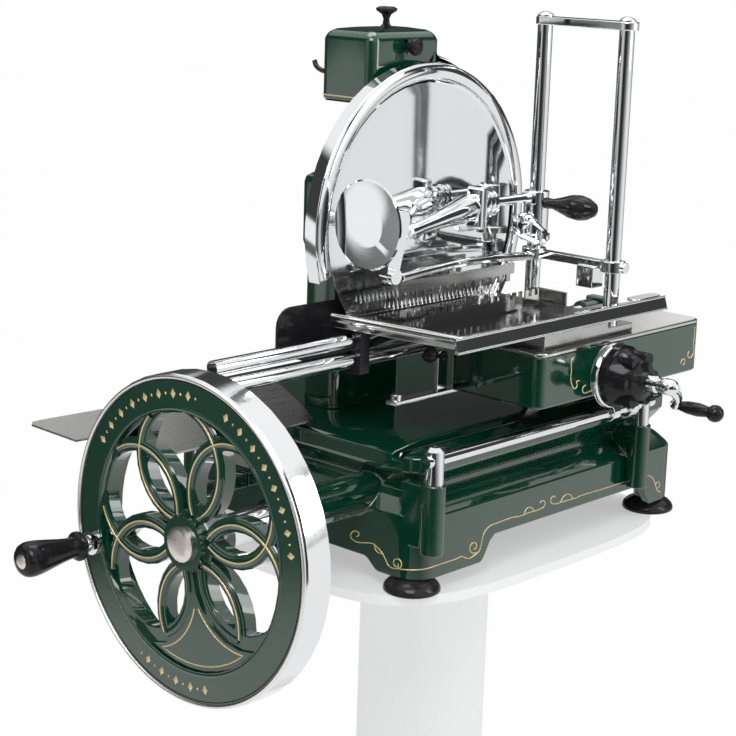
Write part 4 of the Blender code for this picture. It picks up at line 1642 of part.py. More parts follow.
pusher = turned("pusher_disc",
                [(0.0, PUSHER_THICKNESS), (PUSHER_RADIUS * 0.5, PUSHER_THICKNESS),
                 (PUSHER_RADIUS * 0.96, PUSHER_THICKNESS * 0.5), (PUSHER_RADIUS, 0.0),
                 (PUSHER_RADIUS * 0.96, -PUSHER_THICKNESS * 0.4), (LOOP_RADIUS * 2,
                                                                   -PUSHER_THICKNESS * 0.6),
                 (LOOP_RADIUS, -PUSHER_THICKNESS), (LOOP_RADIUS, PUSHER_X - bracket_x + CLEAR),
                 (0.0, PUSHER_X - bracket_x + CLEAR)],
                (PUSHER_X, PUSHER_Y, PUSHER_Z), "-X", ROUND_SIDES)
finish(pusher, CHROME, disc_axis)
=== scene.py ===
import math

import bmesh
import bpy
from mathutils import Matrix, Vector


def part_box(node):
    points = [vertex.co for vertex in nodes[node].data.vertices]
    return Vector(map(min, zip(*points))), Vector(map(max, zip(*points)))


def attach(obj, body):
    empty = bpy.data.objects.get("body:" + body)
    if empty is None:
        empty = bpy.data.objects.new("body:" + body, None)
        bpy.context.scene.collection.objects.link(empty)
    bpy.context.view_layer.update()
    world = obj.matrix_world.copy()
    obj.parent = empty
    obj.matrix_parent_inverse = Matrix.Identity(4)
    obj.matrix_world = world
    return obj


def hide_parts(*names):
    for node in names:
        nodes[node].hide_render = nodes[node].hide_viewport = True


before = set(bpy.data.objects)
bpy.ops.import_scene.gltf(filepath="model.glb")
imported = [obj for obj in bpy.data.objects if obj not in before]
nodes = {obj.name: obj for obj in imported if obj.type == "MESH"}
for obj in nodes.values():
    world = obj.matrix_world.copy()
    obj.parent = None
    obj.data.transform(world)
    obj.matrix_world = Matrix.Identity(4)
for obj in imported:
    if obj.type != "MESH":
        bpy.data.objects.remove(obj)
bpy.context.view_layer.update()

# Camera
PHOTO_SIDE = 736
FOCAL_PIXELS = 1873
SENSOR_WIDTH = 36
CAMERA_PLACE = (-1.7955, -1.5377, 0.75)
CAMERA_YAW = math.radians(42.63)
CAMERA_PITCH = math.radians(13.28)
CAMERA_ROLL = math.radians(1.81)

# Centres of the wheel, the blade and the handwheel, each on its near face
WHEEL_CENTRE = (-0.524, -0.110, 0.103)
BLADE_CENTRE = (-0.100, -0.061, 0.406)
HANDWHEEL_CENTRE = (0.045, -0.250, 0.226)

# Paint and metal colours
ENAMEL_GREEN = (0.0016, 0.042, 0.023)
ENAMEL_DEEP = (0.0010, 0.032, 0.017)
PINSTRIPE_GOLD = (0.70, 0.55, 0.27)
CHROME = (0.86, 0.87, 0.88)
STEEL = (0.56, 0.56, 0.55)
BRIGHT_STEEL = (0.70, 0.69, 0.68)
DARK_STEEL = (0.30, 0.30, 0.31)
RESIN_BLACK = (0.008, 0.008, 0.009)
RUBBER_BLACK = (0.014, 0.014, 0.014)
STONE_GREY = (0.34, 0.31, 0.27)
CAP_CREAM = (0.86, 0.80, 0.74)
BEAD_SILVER = (0.90, 0.89, 0.87)
WHITE = (1.0, 1.0, 1.0)
ALONG_X = (1.0, 0.0, 0.0)
ALONG_Y = (0.0, 1.0, 0.0)


# Node helpers
def rgba(colour):
    return (*colour, 1.0)


def scaled(colour, share):
    return tuple(min(1.0, channel * share) for channel in colour)


def node(tree, kind, inputs=None, **settings):
    made = tree.nodes.new(kind)
    for name, value in settings.items():
        setattr(made, name, value)
    for name, value in (inputs or {}).items():
        socket = made.inputs[name]
        if isinstance(value, bpy.types.NodeSocket):
            tree.links.new(value, socket)
        else:
            socket.default_value = value
    return made


def group(name, inputs, outputs):
    tree = bpy.data.node_groups.new(name, "ShaderNodeTree")
    for label, kind, value in inputs:
        socket = tree.interface.new_socket(label, in_out="INPUT", socket_type=kind)
        socket.default_value = value
    for label, kind in outputs:
        tree.interface.new_socket(label, in_out="OUTPUT", socket_type=kind)
    entry = tree.nodes.new("NodeGroupInput")
    leave = tree.nodes.new("NodeGroupOutput")
    return tree, entry.outputs, leave.inputs


def calculate(tree, operation, *values):
    inputs = dict(enumerate(values))
    return node(tree, "ShaderNodeMath", inputs, operation=operation).outputs[0]


def between(tree, share, low, high):
    inputs = {"Value": share, "To Min": low, "To Max": high}
    return node(tree, "ShaderNodeMapRange", inputs).outputs[0]


def smooth_step(tree, value, low, high):
    inputs = {"Value": value, "From Min": low, "From Max": high}
    return node(tree, "ShaderNodeMapRange", inputs, interpolation_type="SMOOTHSTEP").outputs[0]


def object_place(tree):
    return node(tree, "ShaderNodeTexCoord").outputs["Object"]


def noise(tree, place, scale, detail):
    inputs = {"Vector": place, "Scale": scale, "Detail": detail}
    return node(tree, "ShaderNodeTexNoise", inputs).outputs[0]


def colour_mix(tree, share, first, second):
    mixed = tree.nodes.new("ShaderNodeMix")
    mixed.data_type = "RGBA"
    enabled = {socket.name: socket for socket in mixed.inputs if socket.enabled}
    for name, value in (("Factor", share), ("A", first), ("B", second)):
        if isinstance(value, bpy.types.NodeSocket):
            tree.links.new(value, enabled[name])
        else:
            enabled[name].default_value = value
    return [socket for socket in mixed.outputs if socket.enabled][0]


# Shared surface effects
FLOAT = "NodeSocketFloat"
VECTOR = "NodeSocketVector"
SCRATCH_TURN = (0.4, 0.9, 0.3)
SCRATCH_STRETCH = (1.0, 1.0, 26.0)
SCRATCH_SHARE = 0.35
RIPPLE_GRAIN_RATIO = 6.0


def make_handling_marks():
    """Cloudy smudges and fine random scratches, as a roughness and a height."""
    tree, given, wanted = group(
        "handling_marks",
        [("Smooth", FLOAT, 0.05), ("Rough", FLOAT, 0.15), ("Scale", FLOAT, 14.0)],
        [("Roughness", FLOAT), ("Height", FLOAT)],
    )
    place = object_place(tree)
    cloud = noise(tree, place, given["Scale"], detail=5.0)
    inputs = {"Vector": place, "Rotation": SCRATCH_TURN, "Scale": SCRATCH_STRETCH}
    stretched = node(tree, "ShaderNodeMapping", inputs).outputs[0]
    scratches = noise(tree, stretched, scale=60.0, detail=2.0)
    fine = calculate(tree, "MULTIPLY", scratches, SCRATCH_SHARE)
    soft = calculate(tree, "MULTIPLY_ADD", cloud, 1 - SCRATCH_SHARE, fine)
    tree.links.new(between(tree, soft, given["Smooth"], given["Rough"]), wanted["Roughness"])
    tree.links.new(scratches, wanted["Height"])
    return tree


def make_lacquer_ripple():
    """The slow ripple of a sprayed and baked coat, as a height."""
    tree, given, wanted = group(
        "lacquer_ripple", [("Scale", FLOAT, 120.0), ("Grain", FLOAT, 0.2)], [("Height", FLOAT)]
    )
    place = object_place(tree)
    slow = noise(tree, place, given["Scale"], detail=1.0)
    fine_scale = calculate(tree, "MULTIPLY", given["Scale"], RIPPLE_GRAIN_RATIO)
    fine = noise(tree, place, fine_scale, detail=2.0)
    tree.links.new(calculate(tree, "MULTIPLY_ADD", fine, given["Grain"], slow), wanted["Height"])
    return tree


def make_edge_wear():
    """A mask of the outer edges, broken up where a hand or cloth has rubbed them."""
    tree, given, wanted = group(
        "edge_wear",
        [("Start", FLOAT, 0.52), ("End", FLOAT, 0.60), ("Scale", FLOAT, 40.0)],
        [("Mask", FLOAT)],
    )
    pointed = node(tree, "ShaderNodeNewGeometry").outputs["Pointiness"]
    inputs = {"Value": pointed, "From Min": given["Start"], "From Max": given["End"]}
    edges = node(tree, "ShaderNodeMapRange", inputs).outputs[0]
    patches = noise(tree, object_place(tree), given["Scale"], detail=6.0)
    inputs = {"Value": patches, "From Min": 0.42, "From Max": 0.62}
    broken = node(tree, "ShaderNodeMapRange", inputs).outputs[0]
    tree.links.new(calculate(tree, "MULTIPLY", edges, broken), wanted["Mask"])
    return tree


def make_brushed_lines():
    """Straight brushing along one direction, as a value from 0 to 1."""
    tree, given, wanted = group(
        "brushed_lines",
        [("Stretch", VECTOR, (1.0, 60.0, 60.0)), ("Scale", FLOAT, 12.0)],
        [("Lines", FLOAT)],
    )
    inputs = {"Vector": object_place(tree), "Scale": given["Stretch"]}
    spread = node(tree, "ShaderNodeMapping", inputs).outputs[0]
    tree.links.new(noise(tree, spread, given["Scale"], detail=4.0), wanted["Lines"])
    return tree


def make_turning_lines():
    """Fine rings about an axis, as a lathe leaves them, and the distance from that axis."""
    tree, given, wanted = group(
        "turning_lines",
        [("Centre", VECTOR, (0.0, 0.0, 0.0)), ("Along", VECTOR, ALONG_Y), ("Pitch", FLOAT, 900.0)],
        [("Lines", FLOAT), ("Radius", FLOAT)],
    )
    inputs = {0: object_place(tree), 1: given["Centre"]}
    out = node(tree, "ShaderNodeVectorMath", inputs, operation="SUBTRACT").outputs[0]
    inputs = {0: out, 1: given["Along"]}
    lift = node(tree, "ShaderNodeVectorMath", inputs, operation="DOT_PRODUCT").outputs["Value"]
    length = node(tree, "ShaderNodeVectorMath", {0: out}, operation="LENGTH").outputs["Value"]
    square = calculate(tree, "MULTIPLY", length, length)
    lift_square = calculate(tree, "MULTIPLY", lift, lift)
    radius = calculate(tree, "SQRT", calculate(tree, "SUBTRACT", square, lift_square))
    rings = calculate(tree, "MULTIPLY", radius, given["Pitch"])
    wander = node(tree, "ShaderNodeCombineXYZ", {"X": rings}).outputs[0]
    tree.links.new(noise(tree, wander, scale=1.0, detail=2.0), wanted["Lines"])
    tree.links.new(radius, wanted["Radius"])
    return tree


HANDLING = make_handling_marks()
RIPPLE = make_lacquer_ripple()
WEAR = make_edge_wear()
BRUSHED = make_brushed_lines()
TURNED = make_turning_lines()


def effect(tree, shared, **values):
    used = tree.nodes.new("ShaderNodeGroup")
    used.node_tree = shared
    for name, value in values.items():
        used.inputs[name].default_value = value
    return used.outputs


def finish_of(name, **constants):
    """A new material and its shader, with the values that are the same all over."""
    material = bpy.data.materials.new(name)
    material.use_nodes = True
    tree = material.node_tree
    shader = tree.nodes["Principled BSDF"]
    for label, value in constants.items():
        shader.inputs[label.replace("_", " ")].default_value = value
    return material, tree, shader.inputs


def bump(tree, sockets, height, strength, distance):
    inputs = {"Height": height, "Strength": strength, "Distance": distance}
    tree.links.new(node(tree, "ShaderNodeBump", inputs).outputs[0], sockets["Normal"])


# Finishes
WEAR_SHARE = 0.25
RIM_BAND_START = 0.1782


def enamel_colour(tree, scale):
    """The green of the enamel, deeper in clouds of that scale."""
    depth = noise(tree, object_place(tree), scale, detail=3.0)
    return colour_mix(tree, depth, rgba(ENAMEL_DEEP), rgba(ENAMEL_GREEN))


def make_enamel():
    material, tree, sockets = finish_of(
        "green_enamel_coat", Roughness=0.25, Coat_Weight=1.0, Coat_Roughness=0.02, Specular_IOR_Level=0.5
    )
    marks = effect(tree, HANDLING, Smooth=0.07, Rough=0.12, Scale=16.0)
    ripple = effect(tree, RIPPLE, Scale=55.0, Grain=0.05)
    worn = effect(tree, WEAR, Start=0.56, End=0.66, Scale=30.0)
    worn_share = calculate(tree, "MULTIPLY", worn["Mask"], WEAR_SHARE)
    coat = colour_mix(tree, worn_share, enamel_colour(tree, scale=5.0), rgba(STEEL))
    tree.links.new(coat, sockets["Base Color"])
    tree.links.new(marks["Roughness"], sockets["Roughness"])
    bump(tree, sockets, ripple["Height"], strength=0.05, distance=0.002)
    return material


def make_wheel_finish():
    """Green enamel on the wheel's face and web, and polished metal on the rim's band."""
    material, tree, sockets = finish_of("wheel_enamel_and_band", Coat_Roughness=0.03)
    rings = effect(tree, TURNED, Centre=WHEEL_CENTRE, Along=ALONG_X, Pitch=900.0)
    marks = effect(tree, HANDLING, Smooth=0.04, Rough=0.16, Scale=12.0)
    ripple = effect(tree, RIPPLE, Scale=70.0, Grain=0.05)
    band = calculate(tree, "GREATER_THAN", rings["Radius"], RIM_BAND_START)
    coat = colour_mix(tree, band, enamel_colour(tree, scale=8.0), rgba(CHROME))
    tree.links.new(coat, sockets["Base Color"])
    tree.links.new(band, sockets["Metallic"])
    tree.links.new(calculate(tree, "SUBTRACT", 1.0, band), sockets["Coat Weight"])
    tree.links.new(marks["Roughness"], sockets["Roughness"])
    bump(tree, sockets, ripple["Height"], strength=0.04, distance=0.002)
    return material


def make_chrome(name, smooth, rough, colour):
    material, tree, sockets = finish_of(name, Metallic=1.0)
    marks = effect(tree, HANDLING, Smooth=smooth, Rough=rough, Scale=22.0)
    cloud = noise(tree, object_place(tree), scale=6.0, detail=4.0)
    plate = colour_mix(tree, cloud, rgba(scaled(colour, 0.90)), rgba(colour))
    tree.links.new(plate, sockets["Base Color"])
    tree.links.new(marks["Roughness"], sockets["Roughness"])
    bump(tree, sockets, marks["Height"], strength=0.02, distance=0.0005)
    return material


def make_brushed_steel(name, stretch, colour, smooth, rough):
    material, tree, sockets = finish_of(name, Metallic=1.0)
    lines = effect(tree, BRUSHED, Stretch=stretch, Scale=14.0)["Lines"]
    brushed = colour_mix(tree, lines, rgba(scaled(colour, 0.78)), rgba(colour))
    tree.links.new(brushed, sockets["Base Color"])
    tree.links.new(between(tree, lines, smooth, rough), sockets["Roughness"])
    bump(tree, sockets, lines, strength=0.12, distance=0.0004)
    return material


def make_turned_metal(name, centre, along, pitch, colour, smooth, rough, depth):
    material, tree, sockets = finish_of(name, Metallic=1.0)
    lines = effect(tree, TURNED, Centre=centre, Along=along, Pitch=pitch)["Lines"]
    turned = colour_mix(tree, lines, rgba(scaled(colour, 0.85)), rgba(colour))
    tree.links.new(turned, sockets["Base Color"])
    tree.links.new(between(tree, lines, smooth, rough), sockets["Roughness"])
    bump(tree, sockets, lines, strength=depth, distance=0.0003)
    return material


def make_resin(name, colour, smooth, rough, strength):
    material, tree, sockets = finish_of(name, Specular_IOR_Level=0.22)
    marks = effect(tree, HANDLING, Smooth=smooth, Rough=rough, Scale=30.0)
    ripple = effect(tree, RIPPLE, Scale=260.0, Grain=0.3)
    moulded = colour_mix(tree, marks["Height"], rgba(colour), rgba(scaled(colour, 2.2)))
    tree.links.new(moulded, sockets["Base Color"])
    tree.links.new(marks["Roughness"], sockets["Roughness"])
    bump(tree, sockets, ripple["Height"], strength, distance=0.0006)
    return material


def make_stone():
    material, tree, sockets = finish_of("bonded_grit_stone", Specular_IOR_Level=0.3)
    inputs = {"Vector": object_place(tree), "Scale": 1400.0}
    grit = node(tree, "ShaderNodeTexVoronoi", inputs).outputs["Distance"]
    stone = colour_mix(tree, grit, rgba(STONE_GREY), rgba(scaled(STONE_GREY, 1.6)))
    tree.links.new(stone, sockets["Base Color"])
    tree.links.new(between(tree, grit, 0.75, 0.95), sockets["Roughness"])
    bump(tree, sockets, grit, strength=0.5, distance=0.0004)
    return material


def make_gold():
    material, tree, sockets = finish_of("gold_pinstripe_paint", Metallic=0.55)
    marks = effect(tree, HANDLING, Smooth=0.25, Rough=0.45, Scale=60.0)
    paint = colour_mix(tree, marks["Height"], rgba(PINSTRIPE_GOLD), rgba(scaled(PINSTRIPE_GOLD, 1.25)))
    tree.links.new(paint, sockets["Base Color"])
    tree.links.new(marks["Roughness"], sockets["Roughness"])
    bump(tree, sockets, marks["Height"], strength=0.1, distance=0.0002)
    return material


ENAMEL_COAT = make_enamel()
WHEEL_FINISH = make_wheel_finish()
CHROME_PLATE = make_chrome("polished_chrome_plate", smooth=0.02, rough=0.07, colour=CHROME)
BLADE_MIRROR = make_turned_metal(
    "ground_blade_mirror", BLADE_CENTRE, ALONG_Y, pitch=1500.0, colour=CHROME,
    smooth=0.03, rough=0.09, depth=0.03,
)
TRAY_STEEL = make_brushed_steel(
    "brushed_tray_steel", stretch=(1.5, 40.0, 40.0), colour=STEEL, smooth=0.16, rough=0.34
)
TABLE_STEEL = make_brushed_steel(
    "polished_table_steel", stretch=(1.0, 50.0, 50.0), colour=BRIGHT_STEEL, smooth=0.03, rough=0.08
)
LID_STEEL = make_brushed_steel(
    "brushed_lid_steel", stretch=(1.0, 60.0, 60.0), colour=STEEL, smooth=0.12, rough=0.26
)
TOOLED_STEEL = make_chrome("machined_gear_steel", smooth=0.18, rough=0.36, colour=DARK_STEEL)
CAP_METAL = make_turned_metal(
    "turned_cap_metal", WHEEL_CENTRE, ALONG_X, pitch=2600.0, colour=CAP_CREAM,
    smooth=0.22, rough=0.36, depth=0.3,
)
RESIN = make_resin("polished_black_resin", RESIN_BLACK, smooth=0.05, rough=0.18, strength=0.05)
FOOT_BLACK = make_resin("glossy_foot_black", RUBBER_BLACK, smooth=0.07, rough=0.20, strength=0.12)
BEAD_METAL = make_chrome("satin_bead_chrome", smooth=0.22, rough=0.34, colour=BEAD_SILVER)
STONE = make_stone()
GOLD = make_gold()

FINISHES = {
    "black_resin": RESIN,
    "black_rubber": FOOT_BLACK,
    "brushed_cap": CAP_METAL,
    "green_enamel": ENAMEL_COAT,
    "grinding_stone": STONE,
    "machined_steel": TOOLED_STEEL,
    "polished_chrome": CHROME_PLATE,
    "stainless_steel": LID_STEEL,
}
SPECIAL_FINISHES = {
    "flywheel": WHEEL_FINISH,
    "blade": BLADE_MIRROR,
    "slice_tray": TRAY_STEEL,
    "meat_table": TABLE_STEEL,
    "spiked_strip": TABLE_STEEL,
    "toothed_fence": TABLE_STEEL,
    "carriage_lid": TABLE_STEEL,
}

# Shading, and the width of the round on the edges that a maker breaks, by node
SHARP_ANGLE = math.radians(32)
MERGE_DISTANCE = 2e-6
FLAT_ANGLE = math.radians(0.6)
ROUND_ANGLE = math.radians(35)
EDGE_ROUNDS = {
    "base_casting": 0.0016,
    "carriage": 0.0012,
    "carriage_lid": 0.0006,
    "sharpener_housing": 0.0050,
    "meat_table": 0.0006,
    "table_carrier": 0.0006,
    "lower_guard": 0.0006,
    "flat_arm": 0.0006,
    "column_crossbar": 0.0012,
    "blade_support": 0.0012,
    "rod_slider": 0.0008,
    "press_yoke": 0.0006,
    "column_clamp": 0.0006,
}


def make_soft_shading():
    """Joins the faces of a carried piece and shades them smooth, apart from its real edges."""
    tree = bpy.data.node_groups.new("soft_shading", "GeometryNodeTree")
    tree.interface.new_socket("Geometry", in_out="INPUT", socket_type="NodeSocketGeometry")
    sharpest = tree.interface.new_socket("Angle", in_out="INPUT", socket_type=FLOAT)
    sharpest.default_value = SHARP_ANGLE
    tree.interface.new_socket("Geometry", in_out="OUTPUT", socket_type="NodeSocketGeometry")
    entry = tree.nodes.new("NodeGroupInput").outputs
    leave = tree.nodes.new("NodeGroupOutput").inputs
    inputs = {"Geometry": entry["Geometry"], "Distance": MERGE_DISTANCE}
    joined = node(tree, "GeometryNodeMergeByDistance", inputs).outputs[0]
    inputs = {"Geometry": joined, "Shade Smooth": True}
    smooth = node(tree, "GeometryNodeSetShadeSmooth", inputs, domain="FACE").outputs[0]
    angle = node(tree, "GeometryNodeInputMeshEdgeAngle").outputs["Unsigned Angle"]
    inputs = {0: angle, 1: entry["Angle"]}
    sharp = node(tree, "FunctionNodeCompare", inputs, data_type="FLOAT", operation="GREATER_THAN").outputs[0]
    inputs = {"Geometry": smooth, "Selection": sharp, "Shade Smooth": False}
    edges = node(tree, "GeometryNodeSetShadeSmooth", inputs, domain="EDGE").outputs[0]
    tree.links.new(edges, leave["Geometry"])
    return tree


SOFT_SHADING = make_soft_shading()


def break_edges(piece, width):
    flats = piece.modifiers.new("joined_flats", "DECIMATE")
    flats.decimate_type = "DISSOLVE"
    flats.angle_limit = FLAT_ANGLE
    rounds = piece.modifiers.new("broken_edges", "BEVEL")
    rounds.width = width
    rounds.segments = 3
    rounds.limit_method = "ANGLE"
    rounds.angle_limit = ROUND_ANGLE
    rounds.use_clamp_overlap = False


def shade_softly(piece):
    soften = piece.modifiers.new("soft_shading", "NODES")
    soften.node_group = SOFT_SHADING
    if piece.name in EDGE_ROUNDS:
        break_edges(piece, EDGE_ROUNDS[piece.name])
    weigh = piece.modifiers.new("even_normals", "WEIGHTED_NORMAL")
    weigh.keep_sharp = True


for name, piece in nodes.items():
    old = piece.material_slots[0].material.name.split(".")[0]
    piece.material_slots[0].material = SPECIAL_FINISHES.get(name, FINISHES[old])
    shade_softly(piece)


# Ways of making a piece
TURN_SIDES = 56
AXES = {"X": (Vector((1, 0, 0)), Vector((0, 1, 0)), Vector((0, 0, 1))),
        "Y": (Vector((0, 1, 0)), Vector((0, 0, 1)), Vector((1, 0, 0))),
        "Z": (Vector((0, 0, 1)), Vector((1, 0, 0)), Vector((0, 1, 0)))}


def placed(name, data):
    made = bpy.data.objects.new(name, data)
    bpy.context.scene.collection.objects.link(made)
    return made


def mesh_piece(name, points, faces, material):
    mesh = bpy.data.meshes.new(name)
    mesh.from_pydata(points, [], faces)
    mesh.materials.append(material)
    return placed(name, mesh)


def outward(made):
    mesh = bmesh.new()
    mesh.from_mesh(made.data)
    bmesh.ops.recalc_face_normals(mesh, faces=mesh.faces)
    mesh.to_mesh(made.data)
    mesh.free()


def plan_middle(name):
    """The middle of that node's box in plan, at the height of the stand's top."""
    low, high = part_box(name)
    return ((low[0] + high[0]) / 2, (low[1] + high[1]) / 2, 0.0)


def circle_points(radius, sides):
    turns = [2 * math.pi * side / sides for side in range(sides)]
    return [(radius * math.cos(turn), radius * math.sin(turn)) for turn in turns]


def round_curve(name, radius, resolution):
    curve = bpy.data.curves.new(name, "CURVE")
    curve.dimensions = "3D"
    curve.bevel_depth = radius
    curve.bevel_resolution = resolution
    curve.use_fill_caps = True
    return curve


def bend_through(curve, run):
    """A smooth line through those places."""
    spline = curve.splines.new("BEZIER")
    spline.bezier_points.add(len(run) - 1)
    for point, place in zip(spline.bezier_points, run):
        point.co = place
        point.handle_left_type = point.handle_right_type = "AUTO"
    return spline


def rounded_line(name, runs, radius, material, body, closed=False, smooth=False, resolution=2):
    """One piece of round section along one or more lines, straight between their places or smooth."""
    curve = round_curve(name, radius, resolution)
    for run in runs:
        if smooth:
            bend_through(curve, run).resolution_u = 6
            continue
        spline = curve.splines.new("POLY")
        spline.points.add(len(run) - 1)
        spline.use_cyclic_u = closed
        for point, place in zip(spline.points, run):
            point.co = (*place, 1.0)
    curve.materials.append(material)
    made = placed(name, curve)
    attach(made, body)
    return made


def raised_mesh(name, shapes, material, body):
    """One piece of many small pointed shapes, each given as its outline and the point that it rises to."""
    points = []
    faces = []
    for outline, peak in shapes:
        first = len(points)
        points += [*outline, peak]
        count = len(outline)
        faces += [(first + i, first + (i + 1) % count, first + count) for i in range(count)]
        faces.append(tuple(first + i for i in reversed(range(count))))
    made = mesh_piece(name, points, faces, material)
    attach(made, body)
    return made


def ring_faces(low, high, sides):
    """Faces between two rings of points, where a ring of one point is the axis."""
    faces = []
    for side in range(sides):
        after = (side + 1) % sides
        if len(low) == 1:
            faces.append((low[0], high[after], high[side]))
        elif len(high) == 1:
            faces.append((low[side], low[after], high[0]))
        else:
            faces.append((low[side], low[after], high[after], high[side]))
    return faces


def turned_piece(name, profile, centre, axis, material, body,
                 sides=TURN_SIDES, copies=((0, 0, 0),)):
    """A solid of revolution, or several alike as one piece. Its profile lists places along the axis and
    radii, and starts and ends on the axis."""
    along, first, second = AXES[axis]
    points = []
    faces = []
    for shift in copies:
        middle = Vector(centre) + Vector(shift)
        rings = []
        for place, radius in profile:
            count = sides if radius else 1
            rings.append(range(len(points), len(points) + count))
            for side in range(count):
                turn = 2 * math.pi * side / count
                out = first * math.cos(turn) + second * math.sin(turn)
                points.append(middle + along * place + out * radius)
        for low, high in zip(rings, rings[1:]):
            faces += ring_faces(low, high, sides)
    made = mesh_piece(name, [tuple(point) for point in points], faces, material)
    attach(made, body)
    outward(made)
    shade_softly(made)
    return made


def prism_faces(count):
    """Two ends of that many points each, and the faces between them."""
    faces = [tuple(reversed(range(count))), tuple(range(count, 2 * count))]
    faces += [(i, (i + 1) % count, count + (i + 1) % count, count + i) for i in range(count)]
    return faces


# Wheel stripes and crowns. The wheel lies in the YZ plane, and each petal along its own heading.
WHEEL_FACE_X = WHEEL_CENTRE[0]
RIB_TOP_X = -0.518
FAN_TOP_X = -0.521
PETALS = 6
PETAL_LEAN = math.radians(-12)
RIB_CENTRE = (0.074, 0.0436)
RIB_LINE_RADIUS = 0.0641
RIB_RUN_IN = math.radians(30)
RIB_SAMPLE_STEP = math.radians(2.5)
RIB_SAMPLES = 140
HUB_EDGE = 0.0315
RIM_EDGE = 0.1425
FAN_PETALS = (4, 5)
FAN_RIBS = ((4, -1), (5, 1))
FAN_RIB_REACH = 0.121
RIB_CROWN_RADIUS = 0.0063
RIB_CROWN_SINK = 0.0042
STRIPE_RADIUS = 0.0011
STRIPE_SINK = 0.0006
FAN_HEADING = math.radians(258)
FAN_LINE_RADIUS = 0.0778
FAN_LINE_REACH = 0.1365
FAN_LINE_START = 0.0365
FAN_HALF_ANGLE = math.radians(30)
FAN_LINE_GAP = 0.0022
FAN_RIM_SHARES = (0.8, 0.6, 0.4, 0.2, 0.0, -0.2, -0.4, -0.6, -0.8)
BEAD_RADIUS = 0.1795
BEAD_HALF = 0.0022
# Painted shade: a thin black ring stands for the dark of the groove between the face ring and the bead
FACE_GROOVE_RADIUS = 0.1752
GROOVE_SHADE_HALF = 0.0006
INNER_BEAD_RADIUS = 0.1458
INNER_BEAD_HALF = 0.0026
INNER_BEAD_SINK = INNER_BEAD_HALF * 0.7
RING_SIDES = 144


def on_wheel(across, up, x):
    return (x, WHEEL_CENTRE[1] + across, WHEEL_CENTRE[2] + up)


def turned_by(point, heading):
    across, up = point
    cosine, sine = math.cos(heading), math.sin(heading)
    return (across * cosine - up * sine, across * sine + up * cosine)


def rib_line(heading, side, reach, radius=RIB_LINE_RADIUS, start=HUB_EDGE):
    """Points of one rib's middle line, from the hub out to that distance from the wheel's axis."""
    centre = (RIB_CENTRE[0], side * RIB_CENTRE[1])
    first = math.atan2(-centre[1], HUB_EDGE - centre[0]) - side * RIB_RUN_IN
    points = []
    for step in range(RIB_SAMPLES):
        angle = first + side * RIB_SAMPLE_STEP * step
        point = (centre[0] + radius * math.cos(angle), centre[1] + radius * math.sin(angle))
        if start <= math.hypot(*point) <= reach:
            points.append(turned_by(point, heading))
        elif points:
            break
    return points


def wheel_ring(radius, x):
    return [on_wheel(across, up, x) for across, up in circle_points(radius, RING_SIDES)]


crown_x = RIB_TOP_X + RIB_CROWN_SINK
stripe_x = crown_x - RIB_CROWN_RADIUS + STRIPE_SINK
crowns = []
stripes = []
for petal in range(PETALS):
    heading = PETAL_LEAN + 2 * math.pi * petal / PETALS
    reach = FAN_RIB_REACH if petal in FAN_PETALS else RIM_EDGE
    for side in (-1, 1):
        line = rib_line(heading, side, reach)
        crowns.append([on_wheel(across, up, crown_x) for across, up in line])
        if (petal, side) not in FAN_RIBS:
            stripes.append([on_wheel(across, up, stripe_x) for across, up in line])
rounded_line("rib_crowns", crowns, RIB_CROWN_RADIUS, ENAMEL_COAT, "wheel", resolution=5)
rounded_line("rib_stripes", stripes, STRIPE_RADIUS, GOLD, "wheel")

fan_edge = rib_line(-FAN_HALF_ANGLE, -1, FAN_LINE_REACH, FAN_LINE_RADIUS, FAN_LINE_START)
fan_edge = [point for point in fan_edge if point[1] < -FAN_LINE_GAP]
fan_corner = math.atan2(fan_edge[-1][1], fan_edge[-1][0])
fan_rim = [turned_by((FAN_LINE_REACH, 0.0), fan_corner * share) for share in FAN_RIM_SHARES]
fan_line = fan_edge + fan_rim + [(across, -up) for across, up in reversed(fan_edge)]
fan_line = [on_wheel(*turned_by(point, FAN_HEADING), FAN_TOP_X + STRIPE_SINK) for point in fan_line]
rounded_line("fan_stripe", [fan_line], STRIPE_RADIUS, GOLD, "wheel")

bead_ring = wheel_ring(BEAD_RADIUS, WHEEL_FACE_X)
groove_shade_ring = wheel_ring(FACE_GROOVE_RADIUS, WHEEL_FACE_X)
inner_ring = wheel_ring(INNER_BEAD_RADIUS, WHEEL_FACE_X + INNER_BEAD_SINK)
rounded_line("rim_bead", [bead_ring], BEAD_HALF, BEAD_METAL, "wheel",
             closed=True, resolution=4)
# Painted shade of the face groove, as a thin black ring; no groove is cut into the wheel
rounded_line("rim_groove_painted_shade", [groove_shade_ring], GROOVE_SHADE_HALF, RESIN, "wheel", closed=True)
rounded_line("rim_inner_bead", [inner_ring], INNER_BEAD_HALF, ENAMEL_COAT, "wheel",
             closed=True, resolution=5)

# A plain chain of gold lozenges and dots round the rim's face, in three runs of degrees
LOZENGE_RADIUS = 0.1618
LOZENGE_LONG = 0.0060
LOZENGE_HIGH = 0.0082
LOZENGE_RISE = 0.0010
LOZENGE_STEP = math.radians(4.2)
LOZENGE_RUNS = ((112, 172), (32, 98), (258, 298))
DOT_SHARE = 0.36


def lozenge(turn, size):
    """Corners and peak of one lozenge at that turn round the rim."""
    corners = []
    for along, out in ((1, 0), (0, 1), (-1, 0), (0, -1)):
        reach = LOZENGE_RADIUS + out * LOZENGE_HIGH * size
        bend = turn - along * LOZENGE_LONG * size / LOZENGE_RADIUS
        across, up = turned_by((reach, 0.0), bend)
        corners.append(on_wheel(across, up, WHEEL_FACE_X + LOZENGE_RISE / 2))
    across, up = turned_by((LOZENGE_RADIUS, 0.0), turn)
    return corners, on_wheel(across, up, WHEEL_FACE_X - LOZENGE_RISE)


